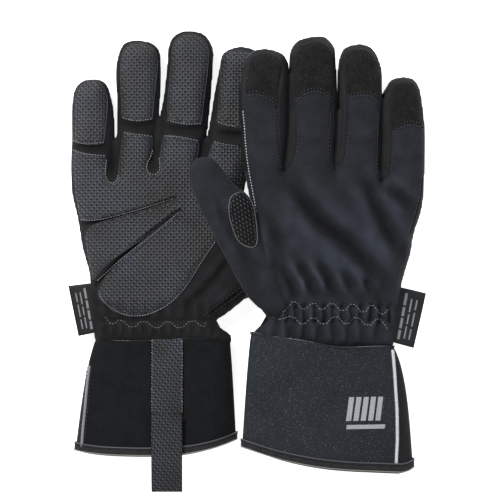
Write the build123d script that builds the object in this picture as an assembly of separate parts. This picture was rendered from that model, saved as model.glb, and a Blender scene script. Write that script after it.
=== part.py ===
"""Pair of insulated work gloves resting one over the other.

The lower glove lies palm side up, the upper glove lies back side up and leans over the thumb edge of
the lower one. Units are millimetres, +Z is up, +Y points to the fingertips, +X to the viewer's right.
The origin is on the resting plane under the middle of the pair.
"""
import math
import os
from collections import namedtuple

from build123d import *

os.makedirs("parts", exist_ok=True)

# ---------------------------------------------------------------- hand plies, outside to inside
SHELL = 1.2            # soft-shell outer fabric
INSULATION = 2.4       # batting behind the outer fabric
LINING = 1.0           # brushed lining
PLY_GAP = 0.1          # clearance between neighbouring plies
FINGER_WALL = 3.2      # quilted wall: outer fabric, batting and lining together
PALM_SOFT = 10.3       # rim rounding of the palm
FINGER_SOFT = 8.3      # rim rounding of the fingers
HINGE_GAP = 0.35       # half the clearance at each flex crease
SEAM_GAP = 0.06        # half the clearance where two panels meet
SPLIT_DROP = 1.0       # hand panels meet this far below mid height
ELASTIC_RUN = 5.0      # insulation is cleared this far below the elastic
ELASTIC_GAP = 0.3

# ---------------------------------------------------------------- fourchettes between the fingers
FOURCHETTE_HALF = 2.6          # half width
FOURCHETTE_BAND = (4.6, 15.2)  # bottom and top above the underside of the hand
FOURCHETTE_GAP = 0.1
FOURCHETTE_RUN = 9.0           # panels are cleared this far past the tipward end

# ---------------------------------------------------------------- coated patches and fingertip caps
PATCH = 0.8
PATCH_GAP = 0.05
FINGER_PATCH_DEPTH = 5.5       # how far patches and caps reach down the finger's side
GRIP_START = 2.6               # distance from crease to finger grip
GRIP_INSET = 2.2
CAP_INSET = 1.4

# ---------------------------------------------------------------- thumb
THUMB_CLEAR = 0.8              # clearance around the thumb as it swings
SWING_STEPS = 5
WINDOW_HALF_HEIGHT = 3.2       # opening from the thumb into the hand

# ---------------------------------------------------------------- cuff
NEOPRENE = 2.6
CUFF_LINING = 1.0
CUFF_GAP = 0.1                 # clearance between cuff pieces
CUFF_SPLIT_Z = 12.0            # height where upper and lower walls meet
BORE_OVERRUN = 0.1             # cutting tubes run past both ends by this share of the length
HEM_WIDTH = 3.6                # binding around the cuff mouth
HEM_PROUD = 0.7                # hem stands out from the cuff
HEM_INNER = 0.5                # and in from the lining
PIPING_RADIUS = 1.0
PIPING_CLEAR = 0.12
PIPING_RAISE = 0.25            # cord centre above the cuff surface
STRAP_WIDTH = 20.0
STRAP_THICK = 1.6
STRAP_TRIM = 0.3               # anchor stops short of its hem end
LABEL_THICK = 0.9
LABEL_Z = 11.0

# ---------------------------------------------------------------- placing
LEAN = 12.0            # sideways lean of the upper glove, degrees
PIVOT_X = 115.0        # right edge the upper glove leans about
UPPER_LIFT = -0.35     # height of the upper glove's pivot edge
SHIFT = (0.87, 0.07)   # x, y move that centres the pair

FAR = 400.0            # reach of cutting blocks, beyond any piece
ALL = (-FAR, FAR)
TALL = (-60, 120)
CEILING = 200

# tip, base: circle (x, y, radius). crease_y, cap_y: y on the finger axis of the flex crease and of
# the cap's wristward edge. z: bottom and top.
Finger = namedtuple("Finger", "tip base crease_y cap_y z")


# ---------------------------------------------------------------- glove tables
# palm, thumb:   circles (x, y, radius) whose hull is the plan; the thumb runs tip, middle, base
# hand_z:        bottom and top of the hand
# patch_drop:    how far the palm grip reaches down the hand's side
# elastic_y:     wristward and tipward edge
# crotches:      (x, y start, y end) of each fourchette
# palm_patch:    outline (x, y) of the palm grip; slits are outlines cut from it
# thumb_swing:   end angles of the thumb's swing about its base, degrees
# thumb_window:  (x, y, half width)
# thumb_patch:   circles (x, y, radius)
# cuff:          wrist end and hem end ellipse (x, y, z, half width, half height)
# seam_top, seam_low: (x, y) at the wrist end and hem end of each piped seam
# strap_y:       wrist end and hem end of the strap anchor
# strap_tail:    (y, z) centre line of the free tail
# label:         outline (x, y)

# Lower glove, palm up
Z0 = PATCH + PATCH_GAP
FINGER_TOP = 20.4
LOWER = {
    "palm": [(-101.4, 58.5, 13), (-99.45, 36.4, 14.95), (-5.85, 61.75, 13),
             (-86.45, -53.95, 10.4), (-29.25, -53.95, 11.7)],
    "hand_z": (Z0, 23.2),
    "patch_drop": 3.6,
    "fingers": {
        "index": Finger((-5.2, 124.48, 14.5), (-10.08, 69.55, 15.08),
                        82.55, 102.05, (Z0, FINGER_TOP)),
        "middle": Finger((-37.7, 134.55, 14.3), (-41.93, 76.05, 14.95),
                         86.45, 113.1, (Z0, FINGER_TOP)),
        "ring": Finger((-71.17, 129.03, 13.65), (-72.15, 76.05, 13.33),
                       88.4, 109.2, (Z0, FINGER_TOP)),
        "little": Finger((-101.08, 104.65, 12.68), (-100.75, 69.55, 13.33),
                         73.45, 89.7, (Z0, FINGER_TOP - 1.5)),
    },
    "wrist_y": -44.85,
    "elastic_y": (-43.55, -33.8),
    "crotches": [(-86.45, 61.1, 72.15), (-57.98, 66.3, 85.15), (-26, 66.3, 80.6)],
    "palm_patch": [
        (-113.1, 73.45), (-105.95, 70.2), (-92.95, 70.85), (-84.5, 80.6), (-79.95, 85.15),
        (-63.7, 83.2), (-55.25, 83.53), (-40.3, 82.23), (-28.6, 79.95), (-22.75, 78.65),
        (-9.1, 76.38), (-4.16, 75.08), (-4.16, 54.6), (-5.46, 43.55), (-10.4, 30.55),
        (-20.8, 14.3), (-27.95, 4.55), (-34.45, -5.2), (-40.95, -14.95), (-47.45, -23.4),
        (-53.95, -28.6), (-60.45, -31.85), (-73.45, -35.1), (-79.95, -34.45), (-86.45, -32.5),
        (-92.95, -27.3), (-97.5, -22.1), (-100.1, -13), (-104, 2.6), (-109.2, 24.05),
        (-112.45, 40.3), (-113.75, 59.8)],
    "slits": [
        [(-122.2, 31.2), (-107.9, 27.3), (-99.45, 26.98), (-89.7, 28.93), (-73.45, 33.48),
         (-63.7, 35.75), (-49.4, 40.95), (-52, 39), (-86.45, 29.38), (-96.2, 25.68),
         (-102.7, 23.07), (-122.2, 18.2)],
        [(-42.9, 34.45), (-55.25, 24.7), (-63.7, 16.9), (-70.2, 11.05), (-83.2, 3.25),
         (-91.65, -2.6), (-97.5, -8.45), (-104, -15.6), (-100.1, -24.7), (-96.2, -18.2),
         (-91.65, -11.05), (-84.5, -2.6), (-76.7, 4.55), (-63.7, 15.28)],
        [(-88.4, 72.8), (-89.05, 65), (-91.65, 61.1), (-92.95, 55.9), (-91.65, 52),
         (-88.4, 51.02), (-85.15, 52.65), (-84.5, 57.2), (-85.8, 62.4), (-85.15, 72.8),
         (-85.15, 85.8), (-88.4, 85.8)],
        [(-59.15, 89.05), (-59.48, 72.8), (-64.35, 65.65), (-66.3, 62.4), (-65.65, 59.15),
         (-63.7, 56.88), (-61.1, 56.23), (-58.5, 57.2), (-56.88, 60.45), (-57.2, 66.3),
         (-56.55, 72.8), (-56.55, 89.05)],
        [(-27.3, 87.1), (-27.95, 72.8), (-33.8, 66.3), (-35.75, 62.4), (-35.1, 58.5),
         (-31.85, 56.55), (-28.6, 57.2), (-26.65, 61.1), (-26, 67.6), (-24.7, 72.8),
         (-24.7, 87.1)],
    ],
    "thumb": [(21.45, 48.1, 9.43), (10.4, 26, 12.35), (-11.05, -7.8, 16.25)],
    "thumb_swing": (-14, 12),
    "thumb_z": (Z0, 14.6),
    "thumb_soft": 6.4,
    "thumb_window": (-24.05, -7.8, 7.0),
    "thumb_patch": [(-3.25, 19.5, 5.2), (2.6, 31.2, 5.2)],
    "cuff": ((-55.25, -49.4, 10.7, 42.0, 10.0), (-59.93, -124.15, 14.9, 52.0, 14.2)),
    "seam_top": ((-97.83, -53.95), (-106.6, -121.55)),
    "seam_low": ((-97.5, -53.95), (-100.75, -121.55)),
    "gusset_on_left": True,
    "strap_x": -52.52,
    "strap_y": (-50.7, -98.8),
    "strap_tail": [(-99.32, 27.35), (-112.45, 29.0), (-123.5, 31.1), (-135.2, 30.8),
                   (-148.85, 28.2)],
    "label": [(-105.69, -14.17), (-116.67, -15.6), (-109.85, -47.77), (-99.65, -45.18)],
}

# Upper glove, back up, in its own frame: x = 0 is the right edge it leans about
UPPER = {
    "palm": [(-16.46, 58.5, 13.29), (-110.82, 62.4, 11.96), (-101.52, 7.8, 13.29),
             (-36.4, -53.95, 10.63), (-101.52, -53.95, 12.63)],
    "hand_z": (1.0, 23.6),
    "patch_drop": 4.0,
    "fingers": {
        "index": Finger((-107.3, 120.9, 14.49), (-108.16, 72.8, 15.02),
                        83.85, 105.95, (1.0, 20.6)),
        "middle": Finger((-76.93, 130, 14.75), (-78.26, 72.8, 14.49),
                         87.75, 108.55, (1.0, 20.8)),
        "ring": Finger((-45.7, 125.78, 14.15), (-48.36, 69.55, 14.49),
                       87.1, 106.6, (1.0, 20.6)),
        "little": Finger((-16.46, 105.3, 13.49), (-17.12, 63.05, 13.42),
                         73.45, 87.1, (1.0, 19.2)),
    },
    "wrist_y": -43.55,
    "elastic_y": (-42.25, -27.3),
    "crotches": [(-92.88, 59.8, 79.3), (-62.98, 61.1, 82.55), (-32.08, 54.6, 71.5)],
    "palm_patch": [
        (-4.5, 73.45), (-13.8, 70.2), (-28.42, 70.85), (-35.07, 79.3), (-41.71, 83.85),
        (-55.67, 83.85), (-65.63, 84.5), (-85.57, 83.85), (-94.87, 80.6), (-98.86, 78.65),
        (-114.81, 75.4), (-121.45, 71.5), (-117.47, 54.6), (-114.81, 43.55), (-109.49, 30.55),
        (-98.86, 14.3), (-91.55, 4.55), (-84.91, -5.2), (-78.26, -14.95), (-71.61, -23.4),
        (-64.97, -28.6), (-58.32, -31.85), (-45.03, -35.1), (-38.39, -34.45), (-31.74, -32.5),
        (-25.1, -27.3), (-21.78, -13), (-16.46, 2.6), (-9.81, 24.05), (-5.83, 40.3),
        (-3.83, 59.8)],
    "slits": [
        [(4.81, 31.2), (-9.81, 27.3), (-18.45, 26.98), (-28.42, 28.93), (-45.03, 33.48),
         (-55, 35.75), (-69.62, 40.95), (-66.96, 39), (-31.74, 29.38), (-21.78, 25.68),
         (-15.13, 23.07), (4.81, 18.2)],
        [(-76.27, 34.45), (-63.64, 24.7), (-55, 16.9), (-48.36, 11.05), (-35.07, 3.25),
         (-26.43, -2.6), (-20.45, -8.45), (-12.47, -15.6), (-17.79, -24.7), (-21.78, -18.2),
         (-26.43, -11.05), (-33.74, -2.6), (-41.71, 4.55), (-55, 15.28)],
        [(-29.75, 72.8), (-29.09, 65), (-26.43, 61.1), (-25.1, 55.9), (-26.43, 52),
         (-29.75, 51.02), (-33.07, 52.65), (-33.74, 57.2), (-32.41, 62.4), (-33.07, 72.8),
         (-33.07, 85.8), (-29.75, 85.8)],
        [(-61.65, 89.05), (-60.98, 72.8), (-55.67, 65.65), (-53.67, 62.4), (-54.34, 59.15),
         (-56.33, 56.88), (-58.99, 56.23), (-61.65, 57.2), (-63.31, 60.45), (-62.98, 66.3),
         (-64.31, 72.8), (-64.31, 89.05)],
        [(-91.55, 87.1), (-91.55, 72.8), (-85.57, 66.3), (-83.58, 62.4), (-84.24, 58.5),
         (-87.56, 56.55), (-90.89, 57.2), (-92.88, 61.1), (-93.54, 67.6), (-94.21, 72.8),
         (-94.21, 87.1)],
    ],
    "thumb": [(-146.37, 53.95, 11.3), (-135.74, 31.2, 15.28), (-114.81, -6.5, 19.94)],
    "thumb_swing": (-12, 14),
    "thumb_z": (2.2, 20.2),
    "thumb_soft": 7.6,
    "thumb_window": (-100.19, -6.5, 8.0),
    "thumb_patch": [(-126.77, 31.85, 7.97), (-123.45, 20.8, 7.97)],
    "cuff": ((-70.95, -48.1, 11.0, 42.5, 10.0), (-67.96, -131.3, 13.2, 53.5, 14.0)),
    "seam_top": ((-28.09, -50.7), (-23.1, -130)),
    "seam_low": ((-26.76, -50.7), (-17.12, -130)),
    "gusset_on_left": False,
    "strap_x": -70.29,
    "strap_y": (-50.7, -102.7),
    "strap_tail": [(-102.38, -4.0), (-89.7, -3.9), (-76.7, -3.6), (-63.7, -3.2), (-53.95, -3.0)],
    "label": [(-17.79, -17.23), (-2.5, -21.12), (-10.48, -55.58), (-23.44, -52)],
}


# ---------------------------------------------------------------- shape helpers
def hull_face(circles, grow=0.0):
    edges = []
    for x, y, radius in circles:
        edges += Circle(radius + grow).moved(Location((x, y, 0))).edges()
    return make_hull(edges)


def column(circles, grow, bottom, height):
    """Straight-sided hull of a few circles."""
    return extrude(hull_face(circles, grow), height).moved(Location((0, 0, bottom)))


def pillow(circles, z, grow, soft):
    """Padded slab: the hull of a few circles with both rims rounded."""
    height = (z[1] - z[0]) + 2 * grow
    body = column(circles, grow, z[0] - grow, height)
    rims = body.edges().group_by(Axis.Z)
    return fillet(rims[0] + rims[-1], min(soft + grow, height / 2 - 0.15))


def coating(circles, z, soft):
    """Thin skin just clear of a pillow."""
    outside = pillow(circles, z, PATCH + PATCH_GAP, soft)
    return outside - pillow(circles, z, PATCH_GAP, soft)


def prism(points, z=TALL):
    """Extruded outline; the move corrects outlines that extrude downwards."""
    solid = extrude(make_face(Polyline(*points, close=True).edges()), z[1] - z[0])
    low = min(v.Z for v in solid.vertices())
    return solid.moved(Location((0, 0, z[0] - low)))


def block(x=ALL, y=ALL, z=TALL):
    return prism([(x[0], y[0]), (x[1], y[0]), (x[1], y[1]), (x[0], y[1])], z)


def above(z):
    return block(z=(z, CEILING))


def below(z):
    return block(z=(-CEILING, z))


def face_zone(z, depth, on_top):
    """The outermost depth of a body that spans z, on its top or its underside."""
    return above(z[1] - depth) if on_top else below(z[0] + depth)


def left_of(start, end, offset):
    """Everything to the left of the line start -> end, moved left by offset."""
    dx, dy = end[0] - start[0], end[1] - start[1]
    length = math.hypot(dx, dy)
    dx, dy = dx / length, dy / length
    back = (start[0] - dx * FAR - dy * offset, start[1] - dy * FAR + dx * offset)
    ahead = (end[0] + dx * FAR - dy * offset, end[1] + dy * FAR + dx * offset)
    return prism([back, ahead, (ahead[0] - dy * FAR, ahead[1] + dx * FAR),
                  (back[0] - dy * FAR, back[1] + dx * FAR)])


def finger_side(finger, y, offset, tipward):
    """Half space square to the finger axis where it passes y, on the tip or the base side."""
    (tip_x, tip_y, _), (base_x, base_y, _) = finger.tip, finger.base
    length = math.hypot(tip_x - base_x, tip_y - base_y)
    dx, dy = (tip_x - base_x) / length, (tip_y - base_y) / length
    x = base_x + dx * (y - base_y) / dy
    end = (x + dy, y - dx) if tipward else (x - dy, y + dx)
    return left_of((x, y), end, offset)


def seam_side(seam, left):
    """Half space left (-X) or right of a cuff seam."""
    wrist_end, hem_end = seam
    if left:
        return left_of(hem_end, wrist_end, SEAM_GAP)
    return left_of(wrist_end, hem_end, SEAM_GAP)


def rod(start, end, radius):
    along = Vector(*end) - Vector(*start)
    plane = Plane(origin=Vector(*start), z_dir=along.normalized())
    return extrude(plane * Circle(radius), along.length)


def solids_of(shape, smallest):
    if isinstance(shape, list):
        return [solid for item in shape for solid in solids_of(item, smallest)]
    return [solid for solid in shape.solids() if solid.volume > smallest]


class Glove:
    """One glove in its own flat frame; palm_up tells which side faces up."""

    def __init__(self, name, dims, palm_up, place):
        self.name, self.dims, self.palm_up, self.place = name, dims, palm_up, place
        self.nodes = {}
        self.above_wrist = block(y=(dims["wrist_y"], FAR))
        self.thumb_sweep = self.sweep_thumb()
        self.hand_panels()
        self.inner_plies()
        self.palm_grip()
        for key, finger in dims["fingers"].items():
            self.finger(key, finger)
        self.thumb()
        self.cuff()
        self.strap_anchor()
        self.strap_tail()
        self.keep("label", prism(dims["label"], (LABEL_Z - LABEL_THICK / 2,
                                                 LABEL_Z + LABEL_THICK / 2)), smallest=5)

    def keep(self, node, shape, smallest=20):
        """Store a piece, dropping slivers below the smallest volume."""
        found = solids_of(shape, smallest)
        if not found:
            raise RuntimeError("nothing left of " + self.name + "_" + node)
        self.nodes[node] = found

    def keep_pair(self, palm_node, back_node, top, bottom):
        palm, back = (top, bottom) if self.palm_up else (bottom, top)
        self.keep(palm_node, palm)
        self.keep(back_node, back)

    # ------------------------------------------------------------ hand
    def hand(self, grow, open_ends=False):
        """Palm and finger roots; open ends run the whole fingers, past the creases."""
        body = pillow(self.dims["palm"], self.dims["hand_z"], grow, PALM_SOFT)
        for f in self.dims["fingers"].values():
            finger = pillow([f.tip, f.base], f.z, grow, FINGER_SOFT)
            if not open_ends:
                finger = finger & finger_side(f, f.crease_y, HINGE_GAP, tipward=False)
            body = body + finger
        return body

    def ply(self, depth, thickness):
        """One layer of the hand, clear of the wrist line and the thumb's swing."""
        outer = (self.hand(-depth) & self.above_wrist) - self.thumb_sweep
        return outer - self.hand(-(depth + thickness), open_ends=True)

    def sweep_thumb(self):
        """Space the thumb passes through as it swings about its base."""
        x, y, _ = self.dims["thumb"][-1]
        first, last = self.dims["thumb_swing"]
        plan = column(self.dims["thumb"], THUMB_CLEAR, TALL[0], 200)
        centred = plan.moved(Location((-x, -y, 0)))
        sweep = None
        for i in range(SWING_STEPS):
            angle = first + (last - first) * i / (SWING_STEPS - 1)
            turned = centred.moved(Location((0, 0, 0), (0, 0, angle))).moved(Location((x, y, 0)))
            sweep = turned if sweep is None else sweep + turned
        return sweep

    def hand_panels(self):
        """Palm and back panels with the fourchettes cut out between the fingers."""
        shell = self.ply(0.0, SHELL)
        bottom, top = self.dims["hand_z"]
        low, high = (bottom + z for z in FOURCHETTE_BAND)
        gap = FOURCHETTE_GAP
        fourchettes = []
        rest = shell
        for x, y0, y1 in self.dims["crotches"]:
            left, right = x - FOURCHETTE_HALF, x + FOURCHETTE_HALF
            fourchettes.append(shell & block((left, right), (y0, y1)) & block(z=(low, high)))
            wide = block((left - gap, right + gap), (y0 - gap, y1 + FOURCHETTE_RUN))
            rest = rest - (wide & block(z=(low - gap, high + gap)))
        split = (bottom + top) / 2 - SPLIT_DROP
        self.keep_pair("palm_panel", "back_panel",
                       rest & above(split + SEAM_GAP), rest & below(split - SEAM_GAP))
        self.keep("fourchettes", fourchettes, smallest=3)

    def inner_plies(self):
        """Insulation with the wrist elastic in its place, and the lining."""
        insulation = self.ply(SHELL + PLY_GAP, INSULATION)
        y0, y1 = self.dims["elastic_y"]
        self.keep("wrist_elastic", insulation & block(y=(y0, y1)))
        self.keep("insulation", insulation - block(y=(y0 - ELASTIC_RUN, y1 + ELASTIC_GAP)))
        self.keep("lining", self.ply(SHELL + 2 * PLY_GAP + INSULATION, LINING))

    def palm_grip(self):
        """Thin slit patch following the palm side."""
        d = self.dims
        skin = self.hand(PATCH + PATCH_GAP) - self.hand(PATCH_GAP, open_ends=True)
        patch = skin & face_zone(d["hand_z"], d["patch_drop"], self.palm_up)
        region = prism(d["palm_patch"])
        for slit in d["slits"]:
            region = region - prism(slit)
        self.keep("palm_grip", (patch & region) - self.thumb_sweep, smallest=30)

    # ------------------------------------------------------------ fingers beyond the crease
    def finger(self, key, f):
        """Finger shell, grip on its palm side and cap on the back of its tip."""
        plan = [f.tip, f.base]
        wall = pillow(plan, f.z, 0.0, FINGER_SOFT) - pillow(plan, f.z, -FINGER_WALL, FINGER_SOFT)
        self.keep(key + "_shell", wall & finger_side(f, f.crease_y, HINGE_GAP, tipward=True))
        cover = coating(plan, f.z, FINGER_SOFT)
        for node, on_top, y, offset, inset in (
                ("_grip", self.palm_up, f.crease_y, GRIP_START, GRIP_INSET),
                ("_cap", not self.palm_up, f.cap_y, 0, CAP_INSET)):
            patch = cover & face_zone(f.z, FINGER_PATCH_DEPTH, on_top)
            patch = patch & finger_side(f, y, offset, tipward=True)
            self.keep(key + node, patch & column(plan, -inset, -100, 300), smallest=10)

    # ------------------------------------------------------------ thumb
    def thumb(self):
        """Thumb shell, opening into the hand through a window, and its grip on top."""
        d = self.dims
        plan, z, soft = d["thumb"], d["thumb_z"], d["thumb_soft"]
        middle = (z[0] + z[1]) / 2
        wall = pillow(plan, z, 0.0, soft) - pillow(plan, z, -FINGER_WALL, soft)
        x, y, half = d["thumb_window"]
        window = block((x - half, x + half), (y - half, y + half),
                       (middle - WINDOW_HALF_HEIGHT, middle + WINDOW_HALF_HEIGHT))
        self.keep("thumb_shell", wall - window)
        zone = column(d["thumb_patch"], 0.0, middle, 300)
        self.keep("thumb_grip", coating(plan, z, soft) & zone, smallest=5)

    # ------------------------------------------------------------ cuff
    def station(self, share):
        """Cuff ellipse at a share of the way from wrist to hem."""
        wrist, hem = self.dims["cuff"]
        return [a + (b - a) * share for a, b in zip(wrist, hem)]

    def tube(self, grow, overrun=0.0):
        sections = []
        for share in (-overrun, 1 + overrun):
            x, y, z, half_width, half_height = self.station(share)
            plane = Plane(origin=(x, y, z), x_dir=(1, 0, 0), z_dir=(0, -1, 0))
            sections.append(plane * Ellipse(half_width + grow, half_height + grow))
        return loft(sections, ruled=True)

    def long_tube(self, grow):
        return self.tube(grow, BORE_OVERRUN)

    def seam_rod(self, seam, on_top, radius):
        """Rod along a seam, its ends just proud of the cuff surface."""
        sign = 1 if on_top else -1
        wrist_y, hem_y = (end[1] for end in self.dims["cuff"])
        ends = []
        for x, y in seam:
            mid_x, _, mid_z, half_width, half_height = self.station((y - wrist_y) / (hem_y - wrist_y))
            rise = half_height * max(0.0, 1 - ((x - mid_x) / half_width) ** 2) ** 0.5
            ends.append((x, y, mid_z + sign * (rise + PIPING_RAISE)))
        return rod(*ends, radius)

    def cuff(self):
        """Hem, lining, two piped seams, and the panels and gusset the seams divide."""
        d = self.dims
        hem_edge = d["cuff"][1][1] + HEM_WIDTH
        main = block(y=(hem_edge + CUFF_GAP, FAR))
        hem = self.tube(HEM_PROUD) - self.long_tube(-(NEOPRENE + CUFF_LINING + HEM_INNER))
        self.keep("cuff_hem", hem & block(y=(-FAR, hem_edge)))
        liner_depth = NEOPRENE + CUFF_GAP
        liner = self.tube(-liner_depth) - self.long_tube(-(liner_depth + CUFF_LINING))
        self.keep("cuff_lining", liner & main)

        seams = ((d["seam_top"], True), (d["seam_low"], False))
        wall = (self.tube(0) - self.long_tube(-NEOPRENE)) & main
        for seam, on_top in seams:
            wall = wall - self.seam_rod(seam, on_top, PIPING_RADIUS + PIPING_CLEAR)
        bore = self.long_tube(-(NEOPRENE + CUFF_GAP / 2))
        self.keep("cuff_piping", [(self.seam_rod(seam, on_top, PIPING_RADIUS) - bore) & main
                                  for seam, on_top in seams], smallest=5)

        left = d["gusset_on_left"]
        top = wall & above(CUFF_SPLIT_Z + SEAM_GAP) & seam_side(d["seam_top"], not left)
        bottom = wall & below(CUFF_SPLIT_Z - SEAM_GAP) & seam_side(d["seam_low"], not left)
        self.keep_pair("cuff_palm_panel", "cuff_back_panel", top, bottom)
        gusset = ((wall & above(CUFF_SPLIT_Z) & seam_side(d["seam_top"], left))
                  + (wall & below(CUFF_SPLIT_Z) & seam_side(d["seam_low"], left)))
        self.keep("cuff_gusset", gusset, smallest=10)

    # ------------------------------------------------------------ pull strap on the palm side
    def strap_anchor(self):
        """Part of the strap that follows the cuff."""
        x = self.dims["strap_x"]
        wrist_end, hem_end = self.dims["strap_y"]
        strip = self.long_tube(STRAP_THICK + CUFF_GAP) - self.long_tube(CUFF_GAP)
        zone = block((x - STRAP_WIDTH / 2, x + STRAP_WIDTH / 2), (hem_end + STRAP_TRIM, wrist_end))
        side = above(CUFF_SPLIT_Z) if self.palm_up else below(CUFF_SPLIT_Z)
        self.keep("strap_anchor", strip & zone & side)

    def strap_tail(self):
        """Free tail: its centre line thickened to both sides, then extruded across."""
        line = self.dims["strap_tail"]
        one_side, other_side = [], []
        for i, (y, z) in enumerate(line):
            before, after = line[max(i - 1, 0)], line[min(i + 1, len(line) - 1)]
            dy, dz = after[0] - before[0], after[1] - before[1]
            scale = STRAP_THICK / 2 / math.hypot(dy, dz)
            one_side.append((y - dz * scale, z + dy * scale))
            other_side.append((y + dz * scale, z - dy * scale))
        outline = Polyline(*one_side, *other_side[::-1], close=True)
        plane = Plane(origin=(self.dims["strap_x"] - STRAP_WIDTH / 2, 0, 0),
                      x_dir=(0, 1, 0), z_dir=(1, 0, 0))
        self.keep("strap", extrude(plane * make_face(outline.edges()), STRAP_WIDTH))

    def export(self):
        for node, solids in self.nodes.items():
            moved = [solid.moved(self.place) for solid in solids]
            shape = moved[0] if len(moved) == 1 else Compound(children=moved)
            shape.label = self.name + "_" + node
            export_step(shape, "parts/" + shape.label + ".step")


lower_place = Location((SHIFT[0], SHIFT[1], 0))
upper_place = Location((PIVOT_X + SHIFT[0], SHIFT[1], UPPER_LIFT), (0, LEAN, 0))
Glove("lower_glove", LOWER, True, lower_place).export()
Glove("upper_glove", UPPER, False, upper_place).export()
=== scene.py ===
"""A pair of padded gloves, one leaning on the other, seen from straight above.

Each glove is designed in millimetres in its own frame: fingers towards +Y, cuff towards -Y,
+Z away from the floor. The lower glove lies palm up at -X. The upper glove lies back up at +X
and is tilted about Y, so that its thumb edge (-X) rises over the lower one.
"""
import math
import bpy
import numpy as np
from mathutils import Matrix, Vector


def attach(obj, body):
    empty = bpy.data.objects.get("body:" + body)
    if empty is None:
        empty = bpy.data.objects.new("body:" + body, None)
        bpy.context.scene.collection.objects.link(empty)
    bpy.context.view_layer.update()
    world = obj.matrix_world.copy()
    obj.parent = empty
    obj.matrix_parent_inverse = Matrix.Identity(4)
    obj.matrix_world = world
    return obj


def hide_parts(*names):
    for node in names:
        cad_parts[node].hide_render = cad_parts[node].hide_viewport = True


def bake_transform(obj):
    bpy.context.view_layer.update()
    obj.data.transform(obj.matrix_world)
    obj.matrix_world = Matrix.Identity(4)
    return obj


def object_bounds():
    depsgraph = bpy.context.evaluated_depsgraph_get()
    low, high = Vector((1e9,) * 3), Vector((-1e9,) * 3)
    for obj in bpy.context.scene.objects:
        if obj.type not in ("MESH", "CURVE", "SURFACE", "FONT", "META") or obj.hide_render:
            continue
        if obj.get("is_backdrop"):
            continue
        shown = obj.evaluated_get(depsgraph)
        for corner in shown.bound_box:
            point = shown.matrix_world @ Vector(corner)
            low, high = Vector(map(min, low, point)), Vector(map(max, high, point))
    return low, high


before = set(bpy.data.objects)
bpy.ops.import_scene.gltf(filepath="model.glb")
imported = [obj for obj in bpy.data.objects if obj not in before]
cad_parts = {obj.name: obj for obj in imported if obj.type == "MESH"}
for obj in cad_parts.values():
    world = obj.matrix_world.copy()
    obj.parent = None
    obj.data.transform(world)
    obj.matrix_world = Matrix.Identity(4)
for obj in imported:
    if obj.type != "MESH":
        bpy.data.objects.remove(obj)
import openvdb
from mathutils import Vector
from mathutils.bvhtree import BVHTree
from mathutils.geometry import delaunay_2d_cdt

CAD_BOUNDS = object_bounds()

# ---------------------------------------------------------------- placement, mm to metres
SHIFT_X, SHIFT_Y = 0.87, 0.07    # both gloves
LEAN = math.radians(12.0)        # tilt of the upper glove about Y
UPPER_X, UPPER_Z = 115.0, -0.35  # further shift of the upper glove


def world_lower(verts):
    world = np.array(verts, float)
    world[:, 0] += SHIFT_X
    world[:, 1] += SHIFT_Y
    return world / 1000.0


def world_upper(verts):
    x, y, z = np.asarray(verts, float).T
    cos, sin = math.cos(LEAN), math.sin(LEAN)
    return np.column_stack([x * cos + z * sin + UPPER_X + SHIFT_X,
                            y + SHIFT_Y,
                            -x * sin + z * cos + UPPER_Z]) / 1000.0


# ---------------------------------------------------------------- reading tables
def points(text):
    """Plan points from text: pairs "x,y" split by spaces."""
    return np.array([[float(v) for v in pair.split(",")] for pair in text.split()])


def lines(text):
    """Several point tables, split by semicolons."""
    return [points(part) for part in text.split(";")]


def folds(text):
    """Fold lines; the first pair of each is its width and depth."""
    return [(row[0], row[1:]) for row in lines(text)]


def field(text):
    """A value that changes with Y, from pairs "y,value" in order of falling y."""
    ys, values = points(text)[::-1].T
    return lambda plan: np.interp(plan[:, 1], ys, values)


# ---------------------------------------------------------------- plan geometry
def densify(line, step, closed=True):
    """Points at about one step apart along a line or ring."""
    line = np.asarray(line, float)
    out = []
    count = len(line)
    for i in range(count if closed else count - 1):
        start, end = line[i], line[(i + 1) % count]
        parts = max(1, int(round(np.hypot(*(end - start)) / step)))
        out += [start + (end - start) * j / parts for j in range(parts)]
    if not closed:
        out.append(line[-1])
    return np.array(out)


def smooth(line, rounds, closed=True):
    """Chaikin corner cutting."""
    line = np.asarray(line, float)
    for _ in range(rounds):
        a, b = (line, np.roll(line, -1, axis=0)) if closed else (line[:-1], line[1:])
        cut = np.stack([0.75 * a + 0.25 * b, 0.25 * a + 0.75 * b], 1).reshape(-1, 2)
        line = cut if closed else np.vstack([line[:1], cut, line[-1:]])
    return line


def nearest(plan, line, closed=False):
    """Distance to a line, and the run of the nearest point along it, 0..1."""
    ends = np.roll(line, -1, 0) if closed else line[1:]
    starts = line[:len(ends)]
    lengths = np.hypot(*(ends - starts).T)
    passed = np.concatenate([[0], np.cumsum(lengths)])
    best = np.full(len(plan), 1e9)
    run = np.zeros(len(plan))
    for start, end, length, before in zip(starts, ends, lengths, passed):
        span = end - start
        t = np.clip(((plan - start) @ span) / max(float(span @ span), 1e-9), 0, 1)
        away = np.hypot(*(plan - start - t[:, None] * span).T)
        closer = away < best
        best = np.where(closer, away, best)
        run = np.where(closer, (before + t * length) / passed[-1], run)
    return best, run


def distance(plan, line, closed=False):
    return nearest(plan, line, closed)[0]


def inside(plan, ring):
    hits = np.zeros(len(plan), bool)
    x, y = plan[:, 0], plan[:, 1]
    for (x0, y0), (x1, y1) in zip(ring, np.roll(ring, -1, 0)):
        if y0 != y1:
            hits ^= ((y0 > y) != (y1 > y)) & (x < (x1 - x0) * (y - y0) / (y1 - y0) + x0)
    return hits


def ring_normals(tangent_x, tangent_y):
    normals = np.column_stack([tangent_x, tangent_y])
    return normals / np.maximum(np.linalg.norm(normals, axis=1), 1e-9)[:, None]


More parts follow.
